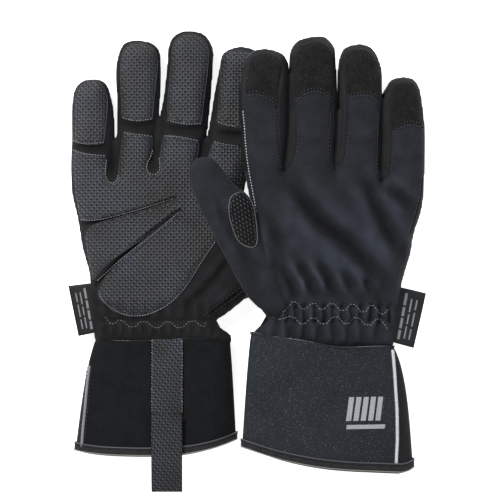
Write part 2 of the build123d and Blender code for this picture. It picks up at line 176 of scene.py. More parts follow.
def inset(outline, amount):
    """Line a fixed distance inside an outline."""
    ring = densify(outline, 1.0)
    along = np.roll(ring, -1, 0) - np.roll(ring, 1, 0)
    normals = ring_normals(-along[:, 1], along[:, 0])
    moved = ring + normals * amount
    if not inside(moved[:1], outline)[0] or inside(moved, outline).mean() < 0.5:
        moved = ring - normals * amount
    clear = inside(moved, outline) & (distance(moved, outline, True) > amount * 0.93)
    moved = moved[clear]
    return moved if len(moved) > 8 else ring


def grown(outline, amount):
    """Outline pushed out where nothing lies close beside it, so that narrow gaps stay open."""
    along = np.roll(outline, -1, 0) - np.roll(outline, 1, 0)
    normals = ring_normals(along[:, 1], -along[:, 0])
    if inside(outline + normals * 0.5, outline).mean() > 0.5:
        normals = -normals
    probe = outline + normals * 3.5
    free = (~inside(probe, outline) & (distance(probe, outline, True) > 2.9)).astype(float)
    for _ in range(3):
        free = (np.roll(free, 1) + np.roll(free, -1) + 2 * free) / 4
    # fingertips, which face +Y, grow more
    tips = np.clip(normals[:, 1], 0, 1) ** 2 * (outline[:, 1] > 60)
    return outline + normals * (amount * free * (1 + 0.9 * tips))[:, None]


def blur(grid, rounds):
    for _ in range(rounds):
        pad = np.pad(grid, 1, mode="edge")
        grid = (pad[:-2, 1:-1] + pad[2:, 1:-1] + pad[1:-1, :-2] + pad[1:-1, 2:]
                + 2 * pad[1:-1, 1:-1]) / 6.0
    return grid


# ---------------------------------------------------------------- relief
def value_noise(plan, size, seed):
    """Smooth repeatable noise in -1..1."""
    grid = np.random.default_rng(seed).uniform(-1, 1, (64, 64))
    scaled = plan / size
    cell = np.floor(scaled).astype(int)
    part = scaled - cell
    fx, fy = (part * part * (3 - 2 * part)).T
    i0, j0 = cell[:, 0] % 64, cell[:, 1] % 64
    i1, j1 = (i0 + 1) % 64, (j0 + 1) % 64
    return ((grid[i0, j0] * (1 - fx) + grid[i1, j0] * fx) * (1 - fy)
            + (grid[i0, j1] * (1 - fx) + grid[i1, j1] * fx) * fy)


def ripple(plan, *layers):
    """Sum of noise layers, each (height, size, seed)."""
    return sum(height * value_noise(plan, size, seed) for height, size, seed in layers)


def fold_run(plan, fold):
    """Distance to a fold line and its depth there; wide folds fade towards their ends."""
    (width, depth), line = fold
    away, run = nearest(plan, line)
    if width > 1.5:
        a, b = np.clip(run / 0.28, 0, 1), np.clip((1 - run) / 0.28, 0, 1)
        fade = (a * a * (3 - 2 * a)) * (b * b * (3 - 2 * b)) * 0.85 + 0.15
        return width, away, depth * fade
    return width, away, depth


def valley(plan, fold):
    """Height of a crease with a soft raised fold on each side."""
    width, away, depth = fold_run(plan, fold)
    return depth * (-np.exp(-(away / width) ** 2)
                    + 0.45 * np.exp(-((away - 1.9 * width) / (1.1 * width)) ** 2))


def valley_painted_shade(plan, fold):
    """Painted shade of the same crease: dark in it, with painted highlight on its folds."""
    width, away, depth = fold_run(plan, fold)
    return depth * (-0.20 * np.exp(-(away / (width * 1.25)) ** 2)
                    + 0.105 * np.exp(-((away - 2.6 * width) / (1.5 * width)) ** 2))


WEAVE_X, WEAVE_Y = 1.85, 1.89  # pitch of the coated basket weave


def weave_height(x, y):
    """Staggered dots of the basket weave, 0..1."""
    a, b = 2 * math.pi * x / WEAVE_X, 2 * math.pi * y / WEAVE_Y
    return np.clip(0.45 + 0.20 * (np.cos(0.5 * (a + b)) + 0.9 * np.cos(b) + 0.8 * np.cos(a)),
                   0, 1)


# ---------------------------------------------------------------- shader helpers
MAT = {}


def new_material(name):
    material = bpy.data.materials.new(name)
    material.use_nodes = True
    MAT[name] = material
    return material.node_tree, material.node_tree.nodes["Principled BSDF"]


def set_inputs(tree, target, inputs):
    """Link the sockets and set the plain values among the inputs."""
    for key, value in inputs.items():
        if isinstance(value, bpy.types.NodeSocket):
            tree.links.new(value, target.inputs[key])
        else:
            target.inputs[key].default_value = value


def node(tree, kind, inputs, **settings):
    new = tree.nodes.new("ShaderNode" + kind)
    for key, value in settings.items():
        setattr(new, key, value)
    set_inputs(tree, new, inputs)
    return new


def coords(tree, turn=0.0):
    """Object coordinates, turned about Z."""
    place = node(tree, "TexCoord", {}).outputs["Object"]
    return node(tree, "Mapping", {"Rotation": (0, 0, turn), "Vector": place}).outputs["Vector"]


def ramp(tree, fac, stops):
    new = node(tree, "ValToRGB", {"Fac": fac})
    while len(new.color_ramp.elements) < len(stops):
        new.color_ramp.elements.new(0.5)
    for element, (position, color) in zip(new.color_ramp.elements, stops):
        element.position = position
        element.color = (*color, 1)
    return new.outputs["Color"]


def noise(tree, place, scale, detail, rough):
    return node(tree, "TexNoise", {"Scale": scale, "Detail": detail, "Roughness": rough,
                                   "Vector": place}).outputs["Fac"]


def maths(tree, operation, *values):
    return node(tree, "Math", dict(enumerate(values)), operation=operation).outputs[0]


def mix_color(tree, blend, first, second):
    return node(tree, "MixRGB", {"Fac": 1.0, "Color1": first, "Color2": second},
                blend_type=blend).outputs["Color"]


def bump(tree, height, distance, strength, under=None):
    inputs = {"Distance": distance, "Strength": strength, "Height": height}
    if under is not None:
        inputs["Normal"] = under
    return node(tree, "Bump", inputs).outputs["Normal"]


def grey(value):
    return (value, value, value)


def scaled(color, factor):
    return tuple(v * factor for v in color)


# ---------------------------------------------------------------- materials
def cloth(name, dark, light, pitch, rough, sheen, spec, bump_mm=0.12, mottle=90, speck=0.0,
          relief=False):
    """Woven or knitted cloth: fine crossed threads, a soft mottle and a light sheen."""
    tree, bsdf = new_material(name)
    place = coords(tree)
    bands = {"Scale": 0.314 / pitch * 1000, "Distortion": 1.2, "Vector": place}
    diagonal = node(tree, "TexWave", {**bands, "Detail": 1.0},
                    wave_type="BANDS", bands_direction="DIAGONAL")
    straight = node(tree, "TexWave", bands, wave_type="BANDS", bands_direction="X")
    weave = maths(tree, "MULTIPLY", diagonal.outputs["Fac"], straight.outputs["Fac"])
    big = noise(tree, place, scale=mottle, detail=5, rough=0.6)
    fine = noise(tree, place, scale=1400, detail=2, rough=0.6)
    tone = maths(tree, "ADD", maths(tree, "MULTIPLY", big, 0.55),
                 maths(tree, "ADD", maths(tree, "MULTIPLY", fine, 0.3),
                       maths(tree, "MULTIPLY", weave, 0.3)))
    color = ramp(tree, tone, [(0.32, dark), (0.72, light)])
    if relief:
        # painted shade and highlight: the relief attribute paints the cloth darker in the creases
        # and seams and paler, bluish, on the folds
        height = node(tree, "Attribute", {}, attribute_name="relief").outputs["Fac"]
        color = mix_color(tree, "MULTIPLY", color, ramp(tree, height, [
            (0.0, (0.30, 0.29, 0.28)), (0.5, (1.0, 1.0, 1.0)), (1.0, (2.3, 2.4, 2.6))]))
    if speck:
        grain = noise(tree, place, scale=1900, detail=1, rough=0.4)
        color = mix_color(tree, "ADD", color, ramp(tree, grain, [
            (0.66, (0, 0, 0)), (0.74, (speck, speck, speck * 1.05))]))
    normal = bump(tree, weave, distance=bump_mm / 1000, strength=0.7)
    normal = bump(tree, fine, distance=0.0001, strength=0.6, under=normal)
    normal = bump(tree, big, distance=0.0006, strength=0.35, under=normal)
    set_inputs(tree, bsdf, {
        "Base Color": color, "Roughness": rough, "Specular IOR Level": spec,
        "Sheen Weight": sheen, "Sheen Roughness": 0.5, "Normal": normal})


def grip_material(name, turn, gloss, lift, spec, ribbed=False):
    """Coated basket weave with dark gaps and a slow change of tone, partly painted highlight; lift
    scales the dots' tone.
    """
    tree, bsdf = new_material(name)
    place = coords(tree, turn)
    x, y = node(tree, "SeparateXYZ", {0: place}).outputs[:2]
    pitch_x, pitch_y = (0.0052, 0.0024) if ribbed else (WEAVE_X / 1000, WEAVE_Y / 1000)
    wobble = noise(tree, place, scale=260, detail=2, rough=0.5)
    phase = maths(tree, "MULTIPLY", maths(tree, "SUBTRACT", wobble, 0.5), 1.5)
    turn_x = maths(tree, "ADD", maths(tree, "MULTIPLY", x, 2 * math.pi / pitch_x), phase)
    turn_y = maths(tree, "SUBTRACT", maths(tree, "MULTIPLY", y, 2 * math.pi / pitch_y), phase)
    if ribbed:
        both = maths(tree, "MULTIPLY", maths(tree, "SINE", turn_x), maths(tree, "SINE", turn_y))
        dots = maths(tree, "ADD", maths(tree, "MULTIPLY", both, 0.5), 0.5)
        stops = [(0.0, (0.0018, 0.0018, 0.0019)), (0.74, (0.0030, 0.0030, 0.0032)),
                 (0.88, grey(0.050 * lift)), (1.0, grey(0.105 * lift))]
    else:
        diagonal = maths(tree, "COSINE", maths(
            tree, "MULTIPLY", maths(tree, "ADD", turn_x, turn_y), 0.5))
        grid = maths(tree, "ADD", maths(tree, "MULTIPLY", maths(tree, "COSINE", turn_y), 0.9),
                     maths(tree, "MULTIPLY", maths(tree, "COSINE", turn_x), 0.8))
        dots = maths(tree, "ADD", maths(
            tree, "MULTIPLY", maths(tree, "ADD", diagonal, grid), 0.20), 0.45)
        stops = [(0.0, (0.0020, 0.0021, 0.0024)), (0.22, (0.0046, 0.0049, 0.0056)),
                 (0.42, scaled((0.0125, 0.0134, 0.0155), lift)),
                 (0.62, scaled((0.029, 0.031, 0.036), lift)),
                 (1.0, scaled((0.060, 0.064, 0.073), lift))]
    color = ramp(tree, dots, stops)
    # slow random tone: darker olive-brown patches, and paler bluish patches that are painted
    # highlight
    big = noise(tree, coords(tree), scale=34, detail=3, rough=0.55)
    color = mix_color(tree, "MULTIPLY", color, ramp(tree, big, [
        (0.30, (0.55, 0.53, 0.47)), (0.50, (0.90, 0.89, 0.86)), (0.68, (1.10, 1.28, 1.60))]))
    rough = node(tree, "MapRange", {"To Min": 0.85, "To Max": gloss, "Value": dots})
    normal = bump(tree, dots, distance=0.0005, strength=1.0)
    grain = noise(tree, place, scale=1800, detail=2, rough=0.6)
    normal = bump(tree, grain, distance=0.0001, strength=0.5, under=normal)
    set_inputs(tree, bsdf, {"Base Color": color, "Roughness": rough.outputs["Result"],
                            "Specular IOR Level": spec, "Normal": normal})


def thread_material(name, color, rough=0.6):
    tree, bsdf = new_material(name)
    grain = noise(tree, coords(tree), scale=2500, detail=2, rough=0.6)
    pale = tuple(min(1, v * 1.25) for v in color)
    set_inputs(tree, bsdf, {
        "Base Color": ramp(tree, grain, [(0.3, scaled(color, 0.6)), (0.7, pale)]),
        "Roughness": rough,
        "Normal": bump(tree, grain, distance=0.0001, strength=0.8)})


# cloths: pitch and bump_mm in mm
# relief=True: the cloth takes painted shade and highlight of its creases and folds from the relief
# attribute
cloth("softshell", (0.0064, 0.0070, 0.0084), (0.0150, 0.0166, 0.0206), pitch=0.7, rough=0.80,
      sheen=0.03, spec=0.10, speck=0.02, relief=True)
cloth("softshell_palm", (0.0046, 0.0046, 0.0047), (0.0110, 0.0110, 0.0114), pitch=0.7,
      rough=0.80, sheen=0.02, spec=0.10, speck=0.01, relief=True)
cloth("fourchette_satin", (0.0048, 0.0047, 0.0050), (0.0120, 0.0118, 0.0122), pitch=0.6,
      rough=0.62, sheen=0.0, spec=0.12, bump_mm=0.06, relief=True)
cloth("suede_cap", (0.0036, 0.0034, 0.0033), (0.0138, 0.0130, 0.0123), pitch=0.9, rough=0.95,
      sheen=0.05, spec=0.05, bump_mm=0.18, mottle=160, speck=0.05)
# The cuff neoprene in two copies: the upper glove's is painted lighter and bluer than the lower
# glove's, as painted light.
cloth("neoprene", (0.0028, 0.0030, 0.0032), (0.0070, 0.0075, 0.0081), pitch=0.8, rough=0.84,
      sheen=0.02, spec=0.08, bump_mm=0.08, mottle=110, speck=0.018)
cloth("neoprene_back", (0.0085, 0.0098, 0.0113), (0.0178, 0.0214, 0.0256), pitch=0.8,
      rough=0.84, sheen=0.03, spec=0.10, bump_mm=0.08, mottle=45, speck=0.10)
cloth("fleece", (0.030, 0.030, 0.031), (0.110, 0.110, 0.112), pitch=1.6, rough=0.95,
      sheen=0.5, spec=0.05, bump_mm=0.5, mottle=300)
# fleece painted near black for the tunnel inside the cuff: painted shade
cloth("fleece_deep", (0.0030, 0.0030, 0.0031), (0.0090, 0.0090, 0.0092), pitch=1.6,
      rough=0.95, sheen=0.0, spec=0.03, bump_mm=0.4, mottle=300)
cloth("binding", (0.007, 0.007, 0.0076), (0.026, 0.026, 0.028), pitch=0.8, rough=0.8,
      sheen=0.05, spec=0.12, bump_mm=0.15, mottle=200)
cloth("label_weave", (0.0060, 0.0062, 0.0070), (0.0150, 0.0155, 0.0175), pitch=0.5,
      rough=0.55, sheen=0.0, spec=0.15, bump_mm=0.05)
grip_material("grip", turn=0.0, gloss=0.42, lift=0.66, spec=0.45)
grip_material("tape", turn=math.radians(4), gloss=0.5, lift=0.78, spec=0.30)
grip_material("grip_thumb", turn=math.radians(58), gloss=0.72, lift=0.80, spec=0.15,
              ribbed=True)
# near-black cord laid in grooves: painted shade
thread_material("seam_crease", (0.0020, 0.0020, 0.0024), rough=0.9)
thread_material("thread_black", (0.014, 0.014, 0.015))
thread_material("thread_grey", (0.120, 0.122, 0.130))
thread_material("thread_dim", (0.085, 0.083, 0.080))
thread_material("raw_edge", (0.080, 0.080, 0.082))
thread_material("raw_edge_dark", (0.010, 0.010, 0.011))
thread_material("raw_edge_line", (0.150, 0.152, 0.158))
thread_material("hem_cord", (0.045, 0.046, 0.050))
thread_material("raw_edge_pale", (0.34, 0.36, 0.40))
thread_material("raw_fuzz", (0.16, 0.155, 0.135), rough=0.95)
thread_material("reflective", (0.42, 0.43, 0.44), rough=0.35)
thread_material("reflective_print", (0.24, 0.245, 0.25), rough=0.4)
thread_material("reflective_dim", (0.15, 0.145, 0.165), rough=0.4)
thread_material("label_bar", grey(0.15))


# ---------------------------------------------------------------- mesh helpers
def make_object(name, verts, faces, materials, normals=None, flat=False, relief=None,
                material_index=None):
    mesh = bpy.data.meshes.new(name)
    mesh.from_pydata([tuple(v) for v in verts], [], [tuple(int(i) for i in f) for f in faces])
    mesh.update()
    if not flat:
        mesh.polygons.foreach_set("use_smooth", [True] * len(mesh.polygons))
    if normals is not None:
        mesh.normals_split_custom_set_from_vertices([tuple(n) for n in normals])
    # the relief attribute holds painted shade and highlight for the cloth materials; 0.5 where
    # none is painted
    tone = mesh.attributes.new("relief", "FLOAT", "POINT")
    tone.data.foreach_set(
        "value", np.full(len(mesh.vertices), 0.5) if relief is None else relief)
    obj = bpy.data.objects.new(name, mesh)
    bpy.context.scene.collection.objects.link(obj)
    for material in materials:
        mesh.materials.append(MAT[material])
    if material_index is not None:
        mesh.polygons.foreach_set("material_index", material_index)
    return obj


def sub_mesh(faces, keep):
    """The kept faces renumbered, and the vertices they use."""
    faces = [f for f, kept in zip(faces, keep) if kept]
    used = sorted({i for f in faces for i in f})
    number = {old: new for new, old in enumerate(used)}
    return [tuple(number[i] for i in f) for f in faces], np.array(used, int)


def slab_faces(top, count):
    """Top triangles, the same facing down `count` vertices later, and walls at the border."""
    edges = dict.fromkeys(e for a, b, c in top for e in ((a, b), (b, c), (c, a)))
    bottom = [tuple(i + count for i in f[::-1]) for f in top]
    return top + bottom + [(b, a, a + count, b + count)
                           for a, b in edges if (b, a) not in edges]


def tube_faces(rows, columns):
    """Quads joining closed rings of vertices."""
    faces = []
    for i in range(rows - 1):
        for j in range(columns):
            k = (j + 1) % columns
            faces.append((i * columns + j, i * columns + k,
                          (i + 1) * columns + k, (i + 1) * columns + j))
    return faces


def patch_mesh(outline, step):
    """Triangulated plan region with an even grid inside and a smooth border."""
    ring = densify(outline, step)
    count = len(ring)
    edges = [(i, (i + 1) % count) for i in range(count)]
    low, high = ring.min(0), ring.max(0)
    x, y = np.meshgrid(np.arange(low[0], high[0], step), np.arange(low[1], high[1], step * 0.87))
    x = x + (np.arange(x.shape[0]) % 2)[:, None] * step * 0.5
    grid = np.stack([x.ravel(), y.ravel()], 1)
    clear = inside(grid, ring) & (distance(grid, ring, True) > step * 0.55)
    out = delaunay_2d_cdt([Vector(p) for p in ring] + [Vector(p) for p in grid[clear]],
                          edges, [], 0, 1e-4)
    plan = np.array([tuple(v) for v in out[0]])
    triangles = [tuple(t) for t in out[2]]
    centres = np.array([plan[list(t)].mean(0) for t in triangles])
    return plan, [t for t, kept in zip(triangles, inside(centres, ring)) if kept], ring


def subdivide(verts, faces, times):
    """Even midpoint subdivision into triangles."""
    split = []
    for f in faces:
        split.append(f[:3])
        if len(f) == 4:
            split.append((f[0], f[2], f[3]))
    tris = np.array(split, int)
    for _ in range(times):
        edges = np.sort(np.vstack([tris[:, [0, 1]], tris[:, [1, 2]], tris[:, [2, 0]]]), axis=1)
        unique, inverse = np.unique(edges, axis=0, return_inverse=True)
        inverse = inverse.ravel()
        middles = (verts[unique[:, 0]] + verts[unique[:, 1]]) / 2
        ab, bc, ca = inverse.reshape(3, len(tris)) + len(verts)
        a, b, c = tris.T
        verts = np.vstack([verts, middles])
        tris = np.vstack([np.column_stack(t) for t in
                          ((a, ab, ca), (ab, b, bc), (ca, bc, c), (ab, bc, ca))])
    return verts, tris


def add_stitch(verts, faces, start, end, radius):
    """Add one six-sided thread stitch with narrowed ends."""
    sides = 6
    start, end = np.array(start, float), np.array(end, float)
    along = end - start
    length = np.linalg.norm(along)
    if length < 1e-6:
        return
    along /= length
    across = np.cross(along, (0, 0, 1.0))
    across = across / max(np.linalg.norm(across), 1e-6)
    up = np.cross(along, across)
    base = len(verts)
    for t, width in ((0, 0.45), (0.18, 1.0), (0.82, 1.0), (1, 0.45)):
        centre = start + along * length * t
        for k in range(sides):
            angle = 2 * math.pi * k / sides
            verts.append(centre + radius * width
                         * (across * math.cos(angle) + up * math.sin(angle)))
    faces += [tuple(base + i for i in f) for f in tube_faces(4, sides)]
    faces.append(tuple(base + k for k in range(sides))[::-1])
    faces.append(tuple(base + 3 * sides + k for k in range(sides)))


class Surface:
    """A mesh that plan points can be dropped onto."""

    def __init__(self, verts, faces, ray_height):
        self.bvh = BVHTree.FromPolygons([tuple(p) for p in verts], faces)
        self.ray_height = ray_height

    def drop(self, plan, side):
        """Heights seen from above (side 1) or below (-1); a miss takes its nearest hit."""
        heights = np.full(len(plan), np.nan)
        for i, (x, y) in enumerate(plan):
            hit = self.bvh.ray_cast(Vector((x, y, self.ray_height * side)),
                                    Vector((0, 0, -side)))[0]
            if hit is not None:
                heights[i] = hit.z
        found = ~np.isnan(heights)
        if found.any():
            for i in np.where(~found)[0]:
                closest = np.argmin(((plan[found] - plan[i]) ** 2).sum(1))
                heights[i] = heights[found][closest]
        return heights


class Skin(Surface):
    """Closed padded skin round plan outlines.

    Each body is a dict: outline, rim (width of its rounded edge), above, below and middle
    (fields of height), soft (rounds of blur) and an optional relief of its top.
    """

    def __init__(self, bodies, z_range):
        voxel = 1.0
        pad = 3.0
        every = np.vstack([body["outline"] for body in bodies])
        low, high = every.min(0), every.max(0)
        xs, ys = (np.arange(low[k] - pad, high[k] + pad, voxel) for k in (0, 1))
        zs = np.arange(z_range[0] - 2, z_range[1] + 2, voxel)
        grid_x, grid_y = np.meshgrid(xs, ys, indexing="ij")
        plan = np.stack([grid_x.ravel(), grid_y.ravel()], 1)
        shape = grid_x.shape
        total = None
        for body in bodies:
            depth = distance(plan, body["outline"], True)
            depth = np.where(inside(plan, body["outline"]), depth, -depth).reshape(shape)
            depth = np.where(depth > 0, blur(np.maximum(depth, 0), body["soft"]), depth)
            edge = np.maximum(0.0, 1 - depth / body["rim"])
            above, below, middle = (body[key](plan).reshape(shape)
                                    for key in ("above", "below", "middle"))
            relief = body["relief"](plan).reshape(shape) if "relief" in body else 0.0
            fade = np.clip(depth / 4.0, 0, 1)
            solid = np.empty((len(xs), len(ys), len(zs)), np.float32)
            for k, z in enumerate(zs):
                rise = z - middle
                rise = np.where(rise > 0, rise / (above + relief * fade), rise / below)
                solid[:, :, k] = (np.sqrt(edge * edge + rise * rise) - 1) * 9.0
            total = solid if total is None else np.minimum(total, solid)
        grid = openvdb.FloatGrid(9.0)
        grid.copyFromArray(total)
        verts, tris, quads = grid.convertToPolygons(isovalue=0.0, adaptivity=0.0)
        self.verts = np.asarray(verts, float) * voxel + np.array([xs[0], ys[0], zs[0]])
        self.faces = [tuple(int(i) for i in f[::-1]) for group in (quads, tris) for f in group]
        self.normals = self.vertex_normals()
        if self.normals[int(np.argmax(self.verts[:, 2])), 2] < 0:
            # the top vertex must face up
            self.faces = [f[::-1] for f in self.faces]
            self.normals = self.vertex_normals()
        super().__init__(self.verts, self.faces, ray_height=100.0)

    def vertex_normals(self):
        quads = np.array([f if len(f) == 4 else (*f, f[0]) for f in self.faces])
        corners = [self.verts[quads[:, k]] for k in range(4)]
        face_normals = np.cross(corners[2] - corners[0], corners[3] - corners[1])
        normals = np.zeros_like(self.verts)
        for k in range(4):
            np.add.at(normals, quads[:, k], face_normals)
        return normals / np.maximum(np.linalg.norm(normals, axis=1), 1e-9)[:, None]


# ---------------------------------------------------------------- the glove
PATCH_STEP = 1.5
CAP_STEP = 1.3
THUMB_STEP = 1.1
SHEET_DEPTH = 0.5  # how far a sheet sinks into the skin
CUFF_COLUMNS, CUFF_ROWS = ((144, 66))
CUFF_ANGLES = np.linspace(0, 2 * np.pi, CUFF_COLUMNS, endpoint=False)
CUFF_GROW = 0.7    # added to each side of the cuff
CUFF_WALL = 3.4
TAPE_HALF = 10.0   # half width of the strap
LABEL_Z = 11.0
LABEL_HALF = 0.55  # scales the half thickness of the label
# label bars: range of u (root to free edge), then the ranges of v
LABEL_BARS = (((0.40, 0.48), ((0.08, 0.30), (0.335, 0.50), (0.535, 0.72), (0.755, 0.92))),
              ((0.60, 0.645), ((0.16, 0.40), (0.44, 0.62), (0.66, 0.88))),
              ((0.76, 0.805), ((0.16, 0.34), (0.39, 0.64), (0.69, 0.88))))
# hem cords: name, offset outwards, place along the cuff, radius, material
HEM_CORDS = (("cord", 1.0, 0.940, 0.50, "hem_cord"),
             # the groove cord is near black: painted shade in the hem's groove
             ("groove", 0.95, 0.954, 0.42, "seam_crease"),
             ("lip", 0.7, 1.004, 0.40, "raw_fuzz"))
# rings of the hem binding: offset outwards, place along the cuff
HEM_BAND = ((0.55, 0.945), (0.95, 0.965), (0.95, 0.990), (0.2, 1.010), (-1.8, 1.018),
            (-3.6, 1.010), (-4.1, 0.99), (-4.1, 0.95))
# fleece tunnel: size against the cuff's inner ring, reach towards the hand
TUNNEL = ((0.82, 14.0), (0.5, 22.0), (0.08, 25.0))


class Glove:
    """One glove; its design tables become attributes.

    Pieces take a `fit`: (material or materials, body or bend, slot, parts replaced ...); the slot
    is not used.
    """

    def __init__(self, **design):
        self.__dict__.update(design)
        self.palm_side = 1 if self.palm_up else -1
        # bends: near body, far body, start and end of the blend between them
        self.bends = {
            "wrist": ("hand", "cuff", *(self.point(self.middle_x, y) for y in self.wrist_bend)),
            "thumb": ("hand", "thumb", *(self.point(*p) for p in self.thumb_bend)),
            "label_root": ("hand", "label", *(self.point(*self.label_plan(u, 0.5), LABEL_Z)
                                              for u in (0.16, 0.42)))}
        for finger, ((x, y), _) in self.fingers.items():
            self.bends[finger] = ("hand", finger, self.point(x, y - 2.5), self.point(x, y + 9.5))
        (y, z), last = self.strap_tail[0], self.strap_tail[-1]
        self.bends["strap_tail"] = ("cuff", "strap", self.point(self.strap_x, y, z),
                                    self.point(self.strap_x, y + (last[0] - y) * 0.22, z))

    def point(self, x, y, z=None):
        """World point, by default at the glove's own middle height."""
        world = self.place(np.array([[x, y, self.middle_z if z is None else z]]))[0]
        return tuple(float(v) for v in world)

    def add(self, name, verts, faces, fit, normals=None, **options):
        """Make one piece: parent it to its body, or bake it in place if it lies on a bend, and
        hide the parts it replaces.
        """
        materials, where, slot, *replaced = fit
        if isinstance(materials, str):
            materials = [materials]
        world = self.place(verts)
        if normals is not None:
            normals = (self.place(verts + normals) - world) * 1000.0
        obj = make_object(f"{self.side}_{name}", world, faces, materials, normals, **options)
        if where in self.bends:
            near, far, start, end = self.bends[where]
            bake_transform(obj)
            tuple(start)
            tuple(end)
        else:
            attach(obj, f"{self.side}_{where}")
        if replaced:
            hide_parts(*(f"{self.side}_glove_{part}" for part in replaced))

    # ------------------------------------------------------------ sewn pieces
    def sheet(self, name, surface, side, outline, fit, lift, step, relief=None, woven=False):
        """Thin sheet that follows a surface, with a rolled edge and a channel inside it."""
        plan, triangles, ring = patch_mesh(outline, step)
        count = len(plan)
        z = surface.drop(plan, side)
        from_edge = distance(plan, ring, True)
        body = 1 - np.exp(-(from_edge / 0.9) ** 2)
        rise = lift * (0.25 + 0.75 * body)
        if relief is not None:
            rise = rise + relief(plan) * body
        rise = rise - 0.28 * np.exp(-((from_edge - 2.0) / 0.7) ** 2)
        verts = np.vstack([np.column_stack([plan, z + side * rise]),
                           np.column_stack([plan, z - side * SHEET_DEPTH])])
        faces = slab_faces(triangles if side > 0 else [t[::-1] for t in triangles], count)
        if woven:
            # carry "on the top face" and the edge fade through the subdivision
            packed = np.column_stack([verts, np.repeat([1.0, 0.0], count),
                                      np.concatenate([body, np.zeros(count)])])
            packed, faces = subdivide(packed, faces, times=2)
            verts, on_top, body = packed[:, :3], packed[:, 3], packed[:, 4]
            x, y, _ = self.place(verts).T * 1000.0
            verts[:, 2] += side * np.where(on_top > 0.999, 0.30 * body * weave_height(x, y), 0.0)
        self.add(name, verts, faces, fit)
        return ring

    def stitches(self, name, surface, side, line, fit, gap, length, radius, lift,
                 closed=False, zigzag=False):
        """Row of short raised thread stitches along a plan line."""
        path = densify(line, 0.4, closed)
        loop = np.vstack([path, path[:1]]) if closed else path
        run = np.concatenate([[0], np.cumsum(np.hypot(*np.diff(loop, axis=0).T))])[:len(path)]
        total = run[-1]
        count = max(1, int(total / gap))
        middles = (np.arange(count) + 0.5) * total / count

        def at(place):
            return np.column_stack([np.interp(place, run, path[:, k]) for k in (0, 1)])
        centres = at(middles)
        heading = at(np.minimum(middles + 0.3, total)) - at(np.maximum(middles - 0.3, 0))
        heading /= np.maximum(np.hypot(*heading.T), 1e-6)[:, None]
        if zigzag:
            turn = np.where(np.arange(count) % 2 == 0, 1, -1)
            dx, dy = heading.T
            heading = np.column_stack([dx * 0.7 - dy * 0.7 * turn, dy * 0.7 + dx * 0.7 * turn])
        half = heading * length / 2
        starts, ends = centres - half, centres + half
        start_z, end_z = surface.drop(starts, side), surface.drop(ends, side)
        verts, faces = [], []
        for start, end, z0, z1 in zip(starts, ends, start_z, end_z):
            if abs(z0 - z1) <= 4:
                add_stitch(verts, faces, (*start, z0 + side * lift), (*end, z1 + side * lift),
                           radius)
        if verts:  # none are left if every stitch falls on a steep place
            self.add(name, np.array(verts), faces, fit)

    def cord(self, name, path, fit, radius, sides, closed=False):
        """Round cord through 3D points."""
        count = len(path)
        verts = []
        for i in range(count):
            before = path[(i - 1) % count] if closed or i > 0 else path[i]
            after = path[(i + 1) % count] if closed or i < count - 1 else path[i]
            along = after - before
            along = along / max(np.linalg.norm(along), 1e-9)
            across = np.cross(along, (0, 0, 1.0))
            if np.linalg.norm(across) < 1e-3:
                across = np.array([1.0, 0, 0])
            across /= np.linalg.norm(across)
            up = np.cross(across, along)
            for k in range(sides):
                angle = 2 * math.pi * k / sides
                verts.append(path[i] + radius * (across * math.cos(angle)
                                                 + up * math.sin(angle)))
        faces = tube_faces(count, sides)
        last = (count - 1) * sides
        if closed:
            for k in range(sides):
                k2 = (k + 1) % sides
                faces.append((last + k, last + k2, k2, k))
        else:
            faces.append(tuple(range(sides))[::-1])
            faces.append(tuple(last + k for k in range(sides)))
        self.add(name, np.array(verts), faces, fit)

    def laid_cord(self, name, surface, side, line, fit, lift, **options):
        """Cord laid on a surface along a plan line."""
        z = surface.drop(line, side) + side * lift
        self.cord(name, np.column_stack([line, z]), fit, **options)

    # ------------------------------------------------------------ hand
    def gathers(self, plan):
        """Vertical gathers of each band."""
        for high, low, height, pitch in self.gather_bands:
            t = np.clip((plan[:, 1] - low) / (high - low), 0, 1)
            x = plan[:, 0] + 0.9 * value_noise(plan, 6.0, 3)
            yield height * np.sin(np.pi * t) ** 0.6 * (
                np.cos(2 * np.pi * x / pitch) * (0.7 + 0.3 * value_noise(plan, 9.0, 5)))

    def hand_relief(self, plan):
        """Height added to the face that looks up."""
        height = ripple(plan, (0.55, 17.0, 11), (0.28, 7.5, 12), (0.10, 3.4, 13))
        for fold in self.folds:
            height = height + valley(plan, fold)
        for line in self.seams:
            away = distance(plan, line)
            height = (height - 0.75 * np.exp(-(away / 0.85) ** 2)
                      + 0.30 * np.exp(-((away - 2.0) / 0.9) ** 2))
        for gather in self.gathers(plan):
            height = height + gather
        for y in self.gather_lines:
            height = height - 1.2 * np.exp(-((plan[:, 1] - y) / 1.7) ** 2)
        return height

    def hand_painted_shade(self, skin):
        """Painted shade and highlight of the cloth: 0.5 flat, lower in creases, seams and gather
        hollows as painted shade, higher on folds as painted highlight, on faces that look up.
        """
        plan = skin.verts[:, :2]
        tone = np.zeros(len(plan))
        for fold in self.folds:
            tone += valley_painted_shade(plan, fold)
        for line in self.seams:
            tone -= 0.35 * np.exp(-(distance(plan, line) / 1.0) ** 2)
        for gather in self.gathers(plan):
            tone += 0.16 * gather
        tone += ripple(plan, (0.07, 17.0, 11), (0.04, 6.0, 12))
        return np.clip(0.5 + tone * np.clip(skin.normals[:, 2], 0, 1), 0, 1)

    def gusset_faces(self, skin, centres):
        """Satin on the finger flanks, and on the top outside the back panels."""
        normals_z = np.array([skin.normals[list(f), 2].mean() for f in skin.faces])
        on_finger = centres[:, 1] > self.gusset_y
        satin = (np.abs(normals_z) < 0.55) & on_finger
        if self.back_panels:
            back = np.zeros(len(centres), bool)
            for panel in self.back_panels:
                back |= inside(centres[:, :2], panel)
            satin = satin | (on_finger & ~back & (centres[:, 2] > 6.0))
        return satin

